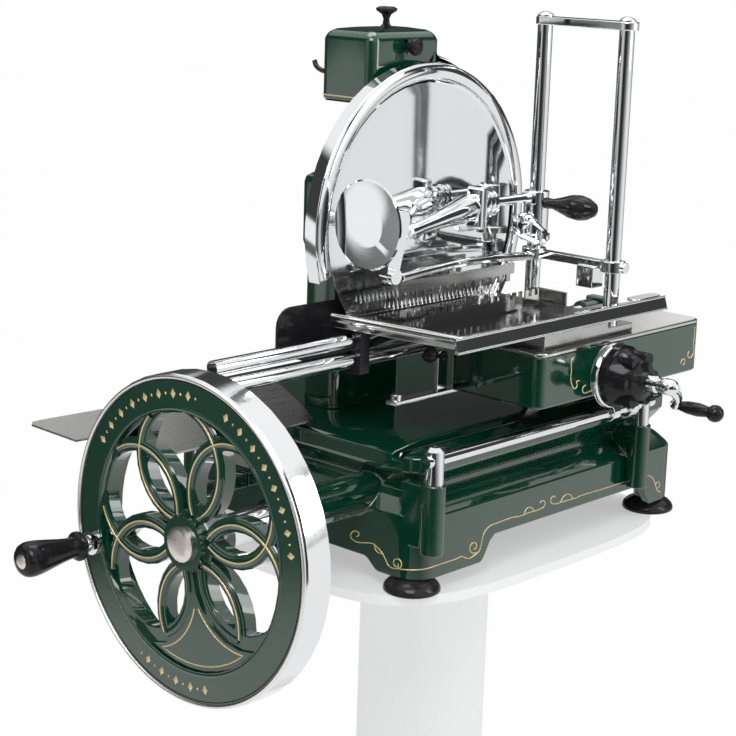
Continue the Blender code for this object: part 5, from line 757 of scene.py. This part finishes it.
lozenges = []
for low, high in LOZENGE_RUNS:
    count = int(math.radians(high - low) / LOZENGE_STEP)
    for index in range(count + 1):
        turn = math.radians(low) + index * LOZENGE_STEP
        lozenges.append(lozenge(turn, 1.0 if index % 2 == 0 else DOT_SHARE))
raised_mesh("rim_lozenges", lozenges, GOLD, "wheel")

# Base stripes through listed places, as (x, z) on the near face and (y, z) on the left end
BASE_FRONT_Y = -0.210
BASE_LEFT_X = -0.260
BASE_CORNER = 0.030
CORNER_STEPS = 8
FRONT_LINE = (
    (-0.2300, 0.0334), (-0.2195, 0.0335), (-0.2043, 0.0334), (-0.1889, 0.0333), (-0.1812, 0.0342),
    (-0.1732, 0.0306), (-0.1665, 0.0284), (-0.1606, 0.0294), (-0.1536, 0.0313), (-0.1484, 0.0338),
    (-0.1458, 0.0392), (-0.1441, 0.0471), (-0.1400, 0.0551), (-0.1318, 0.0602), (-0.1171, 0.0615),
    (-0.1009, 0.0620), (-0.0873, 0.0622), (-0.0775, 0.0610), (-0.0691, 0.0606), (-0.0623, 0.0612),
    (-0.0482, 0.0612), (-0.0341, 0.0614), (-0.0257, 0.0635), (-0.0250, 0.0682), (-0.0307, 0.0712),
    (-0.0350, 0.0690),
)
FRONT_LEFT_ARCH = ((-0.0657, 0.0612), (-0.0618, 0.0669), (-0.0544, 0.0680), (-0.0455, 0.0615))
FRONT_CORNER_CURL = (
    (-0.1497, 0.0322), (-0.1600, 0.0335), (-0.1655, 0.0375), (-0.1660, 0.0432), (-0.1607, 0.0464),
    (-0.1546, 0.0432), (-0.1550, 0.0385), (-0.1595, 0.0385),
)
FRONT_RIGHT_LINE = (
    (-0.0041, 0.0700), (-0.0068, 0.0724), (-0.0118, 0.0712), (-0.0132, 0.0666), (-0.0070, 0.0624),
    (0.0090, 0.0612), (0.0237, 0.0609), (0.0370, 0.0606), (0.0488, 0.0615), (0.0898, 0.0608),
    (0.1554, 0.0608), (0.1892, 0.0604), (0.2054, 0.0548), (0.2143, 0.0440), (0.2207, 0.0330),
    (0.2283, 0.0300),
)
FRONT_RIGHT_ARCH = ((0.0074, 0.0614), (0.0137, 0.0682), (0.0245, 0.0682), (0.0332, 0.0608))
FRONT_RIGHT_CURL = (
    (0.2150, 0.0425), (0.2195, 0.0452), (0.2245, 0.0430), (0.2240, 0.0375), (0.2195, 0.0372),
)
END_LINE = (
    (-0.1800, 0.0300), (-0.1733, 0.0286), (-0.1665, 0.0300), (-0.1617, 0.0356), (-0.1569, 0.0413),
    (-0.1523, 0.0450), (-0.1465, 0.0480), (-0.1418, 0.0500), (-0.1350, 0.0497), (-0.1226, 0.0469),
    (-0.1111, 0.0463), (-0.1051, 0.0501), (-0.1074, 0.0562), (-0.1142, 0.0588), (-0.1183, 0.0560),
    (-0.1150, 0.0523),
)
END_CURL = (
    (-0.1798, 0.0300), (-0.1855, 0.0339), (-0.1850, 0.0395), (-0.1793, 0.0415), (-0.1739, 0.0369),
    (-0.1759, 0.0322), (-0.1808, 0.0328), (-0.1812, 0.0362),
)
END_LOOP = ((-0.1431, 0.0496), (-0.1451, 0.0440), (-0.1514, 0.0414), (-0.1560, 0.0421))
STRIPE_SKIN = 0.0003
BASE_STRIPE_SHARE = 0.7

near_y = BASE_FRONT_Y + STRIPE_SKIN
left_x = BASE_LEFT_X + STRIPE_SKIN
corner_reach = BASE_CORNER - STRIPE_SKIN
corner_climb = FRONT_LINE[0][1] - END_LINE[0][1]
corner = []
for step in range(CORNER_STEPS + 1):
    share = step / CORNER_STEPS
    turn = math.pi + math.pi / 2 * share
    corner.append((BASE_LEFT_X + BASE_CORNER + corner_reach * math.cos(turn),
                   BASE_FRONT_Y + BASE_CORNER + corner_reach * math.sin(turn),
                   END_LINE[0][1] + corner_climb * share))
front_run = [(x, near_y, z) for x, z in FRONT_LINE]
end_run = [(left_x, y, z) for y, z in reversed(END_LINE)]
base_runs = [end_run[:-1] + corner + front_run[1:]]
for line in (FRONT_LEFT_ARCH, FRONT_CORNER_CURL, FRONT_RIGHT_LINE, FRONT_RIGHT_ARCH, FRONT_RIGHT_CURL):
    base_runs.append([(x, near_y, z) for x, z in line])
for line in (END_CURL, END_LOOP):
    base_runs.append([(left_x, y, z) for y, z in line])
rounded_line("base_scrolls", base_runs, STRIPE_RADIUS * BASE_STRIPE_SHARE, GOLD, "frame",
             smooth=True)

# Carriage scrolls through listed places, as (x, z) on its near face
CARRIAGE_FRONT_Y = HANDWHEEL_CENTRE[1]
CARRIAGE_STRIPE_SHARE = 0.75
CARRIAGE_LINES = (
    ((-0.0376, 0.2600), (-0.0412, 0.2554), (-0.0402, 0.2430), (-0.0410, 0.2362), (-0.0368, 0.2251),
     (-0.0315, 0.2208), (-0.0271, 0.2236), (-0.0287, 0.2285), (-0.0235, 0.2290)),
    ((-0.0096, 0.2215), (-0.0155, 0.2190), (-0.0145, 0.2135), (-0.0070, 0.2118), (0.0037, 0.2130)),
    ((0.2200, 0.2620), (0.2205, 0.2500), (0.2196, 0.2400), (0.2212, 0.2324), (0.2187, 0.2245),
     (0.2128, 0.2222), (0.2083, 0.2262), (0.2100, 0.2312)),
    ((0.1930, 0.2173), (0.1962, 0.2224), (0.2013, 0.2217), (0.2016, 0.2168), (0.1975, 0.2150)),
)
carriage_runs = [[(x, CARRIAGE_FRONT_Y + STRIPE_SKIN, z) for x, z in line] for line in CARRIAGE_LINES]
rounded_line("carriage_scrolls", carriage_runs, STRIPE_RADIUS * CARRIAGE_STRIPE_SHARE, GOLD, "carriage_body",
             smooth=True)

# Handle grip on the wheel, with a collar, a long swell and a metal button let into its end
GRIP_CENTRE = (0.0, 0.042, 0.066)
GRIP_PROFILE = (
    (-0.5425, 0), (-0.5425, 0.0100), (-0.5440, 0.0150), (-0.5465, 0.0168), (-0.5500, 0.0168),
    (-0.5525, 0.0150), (-0.5540, 0.0124), (-0.5580, 0.0120), (-0.5640, 0.0123), (-0.5740, 0.0138),
    (-0.5850, 0.0158), (-0.5950, 0.0176), (-0.6040, 0.0191), (-0.6110, 0.0198), (-0.6170, 0.0196),
    (-0.6215, 0.0182), (-0.6245, 0.0156), (-0.6260, 0.0120), (-0.6262, 0.0092), (-0.6250, 0.0088),
    (-0.6250, 0),
)
GRIP_BUTTON_PROFILE = (
    (-0.6235, 0), (-0.6235, 0.0084), (-0.6262, 0.0084), (-0.6272, 0.0070), (-0.6276, 0.0040),
    (-0.6277, 0),
)
swell = turned_piece("grip_swell", GRIP_PROFILE, GRIP_CENTRE, "X", RESIN, "wheel_grip")
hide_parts("handle_grip")
grip_button = turned_piece("grip_button", GRIP_BUTTON_PROFILE, GRIP_CENTRE, "X", CAP_METAL, "wheel_grip")
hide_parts("grip_end_cap")

# Feet: a bell with a flat sole
FOOT_PROFILE = (
    (0.0002, 0), (0.0002, 0.0325), (0.0018, 0.0338), (0.0045, 0.0338), (0.0085, 0.0322), (0.0125, 0.0280),
    (0.0155, 0.0225), (0.0178, 0.0180), (0.0200, 0.0165), (0.0415, 0.0160), (0.0415, 0),
)
for foot in ("foot_near_left", "foot_near_right", "foot_far_left", "foot_far_right"):
    middle = plan_middle(foot)
    bell = turned_piece(foot + "_bell", FOOT_PROFILE, middle, "Z", FOOT_BLACK, "frame")
    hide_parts(foot)

# Crank: a hub nut, a bent round arm given as places and shares of its radius, and a bezel on the carriage
CRANK_HUB_PROFILE = (
    (-0.3045, 0), (-0.3045, 0.0105), (-0.3150, 0.0105), (-0.3175, 0.0085), (-0.3240, 0.0085),
    (-0.3270, 0.0100), (-0.3360, 0.0100), (-0.3400, 0.0085), (-0.3425, 0.0055), (-0.3455, 0.0040),
    (-0.3458, 0),
)
CRANK_LINE = (
    ((0.0450, -0.3315, 0.2260), 1.15), ((0.0560, -0.3330, 0.2180), 1.05), ((0.0680, -0.3300, 0.2093), 0.95),
    ((0.0790, -0.3225, 0.2013), 0.95), ((0.0868, -0.3165, 0.1957), 1.05), ((0.0905, -0.3125, 0.1930), 1.10),
)
CRANK_ARM_RADIUS = 0.0060
BEZEL_PROFILE = ((-0.2495, 0), (-0.2495, 0.0408), (-0.2530, 0.0408), (-0.2548, 0.0400), (-0.2556, 0.0384),
                 (-0.2552, 0.0360), (-0.2540, 0.0345), (-0.2540, 0.0160), (-0.2560, 0.0140), (-0.2560, 0))
handwheel_axis = (HANDWHEEL_CENTRE[0], 0.0, HANDWHEEL_CENTRE[2])
hub = turned_piece("crank_hub", CRANK_HUB_PROFILE, handwheel_axis, "Y", CHROME_PLATE, "feed_wheel")
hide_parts("crank_arm")
guide = round_curve("crank_guide", CRANK_ARM_RADIUS, resolution=6)
bend = bend_through(guide, [place for place, swell in CRANK_LINE])
for point, (place, swell) in zip(bend.bezier_points, CRANK_LINE):
    point.radius = swell
guide_object = bpy.data.objects.new("crank_guide", guide)
bar = placed("crank_bar", bpy.data.meshes.new_from_object(guide_object))
bpy.data.objects.remove(guide_object)
bar.data.materials.append(CHROME_PLATE)
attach(bar, "feed_wheel")
shade_softly(bar)
turned_piece("feed_bezel", BEZEL_PROFILE, handwheel_axis, "Y", CHROME_PLATE, "carriage_body")

# Crown on the blade's ring guard
GUARD_CROWN_ARC = (math.radians(-41), math.radians(197))
GUARD_CROWN_MIDDLE = 0.1781
GUARD_CROWN_HALF = 0.0096
GUARD_CROWN_BACK_Y = -0.0620
GUARD_CROWN_RISE = 0.0042
GUARD_CROWN_STEPS = 120
GUARD_CROWN_SIDES = 14
crown_start, crown_end = GUARD_CROWN_ARC
row = GUARD_CROWN_SIDES + 1
crown_points = []
crown_faces = []
for step in range(GUARD_CROWN_STEPS + 1):
    turn = crown_start + (crown_end - crown_start) * step / GUARD_CROWN_STEPS
    for side in range(row):
        lean = math.pi * side / GUARD_CROWN_SIDES
        reach = GUARD_CROWN_MIDDLE + GUARD_CROWN_HALF * math.cos(lean)
        crown_points.append((BLADE_CENTRE[0] + reach * math.cos(turn),
                             GUARD_CROWN_BACK_Y - GUARD_CROWN_RISE * math.sin(lean),
                             BLADE_CENTRE[2] + reach * math.sin(turn)))
rows = [range(step * row, (step + 1) * row) for step in range(GUARD_CROWN_STEPS + 1)]
for low, high in zip(rows, rows[1:]):
    crown_faces += ring_faces(low, high, row)
crown_faces += [tuple(rows[0]), tuple(rows[-1])]
crown = mesh_piece("ring_crown", crown_points, crown_faces, CHROME_PLATE)
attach(crown, "frame")
outward(crown)
shade_softly(crown)

# Moulding along the table's near edge: a bead above and below a sloping face, as (y, z)
EDGE_X = (-0.262, 0.1405)
EDGE_BEAD = 0.0013
EDGE_TOP = (-0.2543, 0.3124)
EDGE_FOOT = (-0.2586, 0.2976)
EDGE_SLOPE = ((-0.2538, 0.3124), (-0.2546, 0.3118), (-0.2589, 0.2980), (-0.2579, 0.2970), (-0.2538, 0.2970))
for name, (y, z) in (("table_edge_bead", EDGE_TOP), ("table_foot_bead", EDGE_FOOT)):
    rounded_line(name, [[(EDGE_X[0], y, z), (EDGE_X[1], y, z)]], EDGE_BEAD, CHROME_PLATE, "table_body",
                 resolution=5)
slope_points = [(x, y, z) for x in EDGE_X for y, z in EDGE_SLOPE]
edge_face = mesh_piece("table_edge_face", slope_points, prism_faces(len(EDGE_SLOPE)), CHROME_PLATE)
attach(edge_face, "table_body")
outward(edge_face)

# Spikes that hold the meat, in two rows on the spiked strip
SPIKE_ROWS = ((-0.0790, 0.0), (-0.0900, 0.0036))
SPIKE_FIRST = -0.184
SPIKE_LAST = 0.022
SPIKE_STEP = 0.0072
SPIKE_RADIUS = 0.0011
SPIKE_FOOT = 0.3105
SPIKE_TOP = 0.3175
SPIKE_SIDES = 8
spikes = []
for y, shift in SPIKE_ROWS:
    for index in range(int((SPIKE_LAST - SPIKE_FIRST) / SPIKE_STEP)):
        x = SPIKE_FIRST + shift + index * SPIKE_STEP
        outline = []
        for across, along in circle_points(SPIKE_RADIUS, SPIKE_SIDES):
            outline.append((x + across, y + along, SPIKE_FOOT))
        spikes.append((outline, (x, y, SPIKE_TOP)))
outward(raised_mesh("table_spikes", spikes, CHROME_PLATE, "table_body"))

# Domed nuts on the two columns, and four screws on the blade's hub cover
NUT_PROFILE = (
    (0.6470, 0), (0.6470, 0.0100), (0.6500, 0.0100), (0.6512, 0.0090), (0.6528, 0.0066), (0.6540, 0.0036),
    (0.6544, 0),
)
near_column = plan_middle("column_near")
far_column = plan_middle("column_far")
turned_piece("column_nuts", NUT_PROFILE, near_column, "Z", CHROME_PLATE, "table_body",
             copies=((0, 0, 0), (0, far_column[1] - near_column[1], 0)))
SCREW_PROFILE = (
    (-0.0660, 0), (-0.0660, 0.0034), (-0.0676, 0.0034), (-0.0684, 0.0026), (-0.0688, 0.0012),
    (-0.0689, 0),
)
SCREW_CIRCLE = 0.020
SCREW_TURNS = (45, 135, 225, 315)
SCREW_SIDES = 24
screw_places = []
for degrees in SCREW_TURNS:
    across, up = turned_by((SCREW_CIRCLE, 0.0), math.radians(degrees))
    screw_places.append((across, 0, up))
turned_piece("blade_screws", SCREW_PROFILE, (BLADE_CENTRE[0], 0.0, BLADE_CENTRE[2]), "Y", TOOLED_STEEL,
             "blade_rotor", sides=SCREW_SIDES, copies=screw_places)

# End block of the pusher's arm, and the catch and the gold line on the sharpener's housing
BLOCK_LOW = (-0.0600, -0.1165, 0.3960)
BLOCK_HIGH = (-0.0455, -0.0920, 0.4480)
BLOCK_ROUND = 0.0042
CATCH_LINE = (
    (-0.1700, 0.0420, 0.5785), (-0.1705, 0.0500, 0.5800), (-0.1710, 0.0575, 0.5840),
    (-0.1712, 0.0610, 0.5905),
)
CATCH_RADIUS = 0.0030
HOUSING_LINE_X = -0.1737
HOUSING_LINE_Y = (0.0425, -0.0300)
HOUSING_LINE_Z = 0.5515
HOUSING_STRIPE_SHARE = 0.8
low_x, low_y, low_z = BLOCK_LOW
high_x, high_y, high_z = BLOCK_HIGH
block_outline = ((low_x, low_y), (high_x, low_y), (high_x, high_y), (low_x, high_y))
corners = [(x, y, z) for z in (low_z, high_z) for x, y in block_outline]
block = mesh_piece("arm_block", corners, prism_faces(len(block_outline)), CHROME_PLATE)
outward(block)
rounds = block.modifiers.new("rounded_block", "BEVEL")
rounds.width = BLOCK_ROUND
rounds.segments = 5
shade_softly(block)
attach(block, "pusher")
rounded_line("housing_catch", [CATCH_LINE], CATCH_RADIUS, FOOT_BLACK, "frame", smooth=True,
             resolution=5)
housing_run = [(HOUSING_LINE_X, y, HOUSING_LINE_Z) for y in HOUSING_LINE_Y]
rounded_line("housing_line", [housing_run], STRIPE_RADIUS * HOUSING_STRIPE_SHARE, GOLD, "frame")

# Studio, as mirrors see it: above the horizon a bright ceiling and bright strips over a dark band, and
# below it a level that changes with the heading, in degrees. A strip or card is its aim and half its angle.
CEILING_LOW = 0.50
CEILING_HIGH = 0.60
DARK_BAND = 0.05
AIR_LIGHT = 0.50
STRIP_SOFTNESS = 0.05
STRIPS = (
    ((-0.25, -0.95, 0.15), 0.42),
    ((-0.97, 0.10, 0.20), 0.26),
    ((0.50, -0.85, 0.14), 0.24),
    ((0.85, 0.48, 0.18), 0.13),
    ((0.57, 0.785, 0.24), 0.075),
)
FLOOR_NEAR_LOW = -0.31
FLOOR_NEAR_HIGH = -0.37
FLOOR_MIRRORED = 0.9
HORIZON_SOFTNESS = 0.02
HEADING_LEVELS = (
    (-180, 0.60), (-171, 0.22), (-160, 0.03), (-146, 0.02), (-131, 0.05), (-117, 0.15), (-104, 0.33),
    (-90, 0.55), (-74, 0.82), (-57, 0.93), (-39, 0.90), (-15, 0.60), (8, 0.20), (24, 0.05), (98, 0.08),
    (123, 0.05), (141, 0.20), (158, 0.55), (172, 0.64),
)
LOW_CARDS = (((-0.725, 0.675, -0.135), 0.085),)

# Stand, floor and background
STAND_LOW = (-0.30, -0.235)
STAND_HIGH = (0.27, 0.215)
STAND_THICKNESS = 0.012
STAND_COLUMN_RADIUS = 0.085
STAND_SIDES = 64
STAND_SQUARENESS = 0.5
FLOOR_DROP = -0.80
FLOOR_HALF = 14.0
STAND_WHITE = (0.80, 0.82, 0.81)
FLOOR_WHITE = (0.90, 0.90, 0.90)


def prism_mesh(name, outline, low, high, material):
    points = [(x, y, z) for z in (low, high) for x, y in outline]
    return mesh_piece(name, points, prism_faces(len(outline)), material)


def plain_stage_finish(name, colour, glow, through=False):
    """A pale finish. For the camera and in mirrors it is part of the way to white, and keeps the shadows.
    With through, mirrors see past it to the studio."""
    material, tree, sockets = finish_of(name, Roughness=0.6, Base_Color=rgba(colour))
    path = node(tree, "ShaderNodeLightPath").outputs
    seen = calculate(tree, "MAXIMUM", path["Is Camera Ray"], path["Is Glossy Ray"])
    seen = calculate(tree, "MAXIMUM", seen, path["Is Transmission Ray"])
    share = calculate(tree, "MULTIPLY", seen, glow)
    white = node(tree, "ShaderNodeEmission", {"Color": rgba(WHITE), "Strength": 1.0}).outputs[0]
    paint = tree.nodes["Principled BSDF"].outputs[0]
    shown = node(tree, "ShaderNodeMixShader", {0: share, 1: paint, 2: white}).outputs[0]
    if through:
        clear = node(tree, "ShaderNodeBsdfTransparent").outputs[0]
        inputs = {0: path["Is Glossy Ray"], 1: shown, 2: clear}
        shown = node(tree, "ShaderNodeMixShader", inputs).outputs[0]
    tree.links.new(shown, tree.nodes["Material Output"].inputs["Surface"])
    return material


stand_finish = plain_stage_finish("pale_stand", STAND_WHITE, glow=0.45)
middle = [(low + high) / 2 for low, high in zip(STAND_LOW, STAND_HIGH)]
half = [(high - low) / 2 for low, high in zip(STAND_LOW, STAND_HIGH)]
oval = []
for across, along in circle_points(1.0, STAND_SIDES):
    oval.append((middle[0] + half[0] * math.copysign(abs(across) ** STAND_SQUARENESS, across),
                 middle[1] + half[1] * math.copysign(abs(along) ** STAND_SQUARENESS, along)))
stand_plate = prism_mesh("stand_plate", oval, -STAND_THICKNESS, 0.0, stand_finish)
circle = circle_points(STAND_COLUMN_RADIUS, STAND_SIDES)
stand_column = prism_mesh("stand_column", circle, FLOOR_DROP, -STAND_THICKNESS, stand_finish)
floor_sides = ((-1, -1), (1, -1), (1, 1), (-1, 1))
floor_corners = [(x * FLOOR_HALF, y * FLOOR_HALF, FLOOR_DROP) for x, y in floor_sides]
floor_finish = plain_stage_finish("pale_floor", FLOOR_WHITE, glow=0.975, through=True)
floor = mesh_piece("floor", floor_corners, [(0, 1, 2, 3)], floor_finish)


def with_cards(tree, level, heading, cards):
    """That level, or white where a mirror looks towards one of the cards."""
    for aim, width in cards:
        inputs = {0: heading, 1: aim}
        toward = node(tree, "ShaderNodeVectorMath", inputs, operation="DOT_PRODUCT").outputs["Value"]
        card = smooth_step(tree, toward, math.cos(width + STRIP_SOFTNESS), math.cos(width))
        level = calculate(tree, "MAXIMUM", level, card)
    return level


def make_studio():
    """White behind the object for the camera, an even grey light on it, and the studio in its mirrors."""
    world = bpy.data.worlds.new("studio")
    bpy.context.scene.world = world
    world.use_nodes = True
    tree = world.node_tree
    tree.nodes.clear()
    path = node(tree, "ShaderNodeLightPath").outputs
    heading = node(tree, "ShaderNodeTexCoord").outputs["Generated"]
    parts = node(tree, "ShaderNodeSeparateXYZ", {"Vector": heading}).outputs
    ceiling = smooth_step(tree, parts["Z"], CEILING_LOW, CEILING_HIGH)
    above = with_cards(tree, ceiling, heading, STRIPS)
    above = between(tree, above, DARK_BAND, 1.0)
    turn = calculate(tree, "ARCTAN2", parts["Y"], parts["X"])
    turn_share = calculate(tree, "MULTIPLY_ADD", turn, 0.5 / math.pi, 0.5)
    levels = node(tree, "ShaderNodeValToRGB", {"Fac": turn_share})
    stops = levels.color_ramp.elements
    while len(stops) < len(HEADING_LEVELS) + 1:
        stops.new(0.5)
    for stop, (degrees, level) in zip(stops, HEADING_LEVELS + ((180, HEADING_LEVELS[0][1]),)):
        stop.position = degrees / 360 + 0.5
        stop.color = (level, level, level, 1.0)
    near_floor = smooth_step(tree, parts["Z"], FLOOR_NEAR_LOW, FLOOR_NEAR_HIGH)
    floor_level = calculate(tree, "MULTIPLY", near_floor, FLOOR_MIRRORED)
    below = calculate(tree, "MAXIMUM", levels.outputs[0], floor_level)
    below = with_cards(tree, below, heading, LOW_CARDS)
    side = smooth_step(tree, parts["Z"], -HORIZON_SOFTNESS, HORIZON_SOFTNESS)
    difference = calculate(tree, "SUBTRACT", above, below)
    mirrored = calculate(tree, "MULTIPLY_ADD", side, difference, below)
    seen = calculate(tree, "MAXIMUM", path["Is Camera Ray"], path["Is Transmission Ray"])
    more = calculate(tree, "SUBTRACT", mirrored, AIR_LIGHT)
    strength = calculate(tree, "MULTIPLY_ADD", path["Is Glossy Ray"], more, AIR_LIGHT)
    strength = calculate(tree, "MAXIMUM", strength, seen)
    light = node(tree, "ShaderNodeBackground", {"Color": rgba(WHITE), "Strength": strength})
    node(tree, "ShaderNodeOutputWorld", {"Surface": light.outputs[0]})


make_studio()


def soft_lamp(name, place, target, size, watts):
    lamp = bpy.data.lights.new(name, "AREA")
    lamp.shape = "RECTANGLE"
    lamp.size, lamp.size_y = size
    lamp.energy = watts
    stand = placed(name, lamp)
    stand.location = place
    stand.rotation_mode = "QUATERNION"
    stand.rotation_quaternion = (Vector(target) - Vector(place)).to_track_quat("-Z", "Y")


soft_lamp("key_softbox", place=(-1.6, -1.0, 1.9), target=(-0.1, -0.1, 0.2), size=(1.2, 1.2), watts=32)
soft_lamp("side_softbox", place=(0.9, -1.9, 1.1), target=(0.0, -0.1, 0.2), size=(0.8, 1.4), watts=14)
soft_lamp("top_softbox", place=(0.1, 0.3, 2.2), target=(0.0, 0.0, 0.2), size=(1.6, 1.0), watts=16)

# Camera at the photograph's viewing angle
level = math.cos(CAMERA_PITCH)
forward = Vector((math.cos(CAMERA_YAW) * level, math.sin(CAMERA_YAW) * level, -math.sin(CAMERA_PITCH)))
right = Vector((math.sin(CAMERA_YAW), -math.cos(CAMERA_YAW), 0.0))
up = right.cross(forward)
rolled_right = math.cos(CAMERA_ROLL) * right + math.sin(CAMERA_ROLL) * up
rolled_up = math.cos(CAMERA_ROLL) * up - math.sin(CAMERA_ROLL) * right
lens = bpy.data.cameras.new("photo_camera")
lens.sensor_width = SENSOR_WIDTH
lens.lens = FOCAL_PIXELS / PHOTO_SIDE * SENSOR_WIDTH
lens.clip_start = 0.01
camera = placed("photo_camera", lens)
turned = Matrix((rolled_right, rolled_up, -forward)).transposed().to_4x4()
camera.matrix_world = Matrix.Translation(CAMERA_PLACE) @ turned
bpy.context.scene.camera = camera
bpy.context.scene.view_settings.view_transform = "Standard"
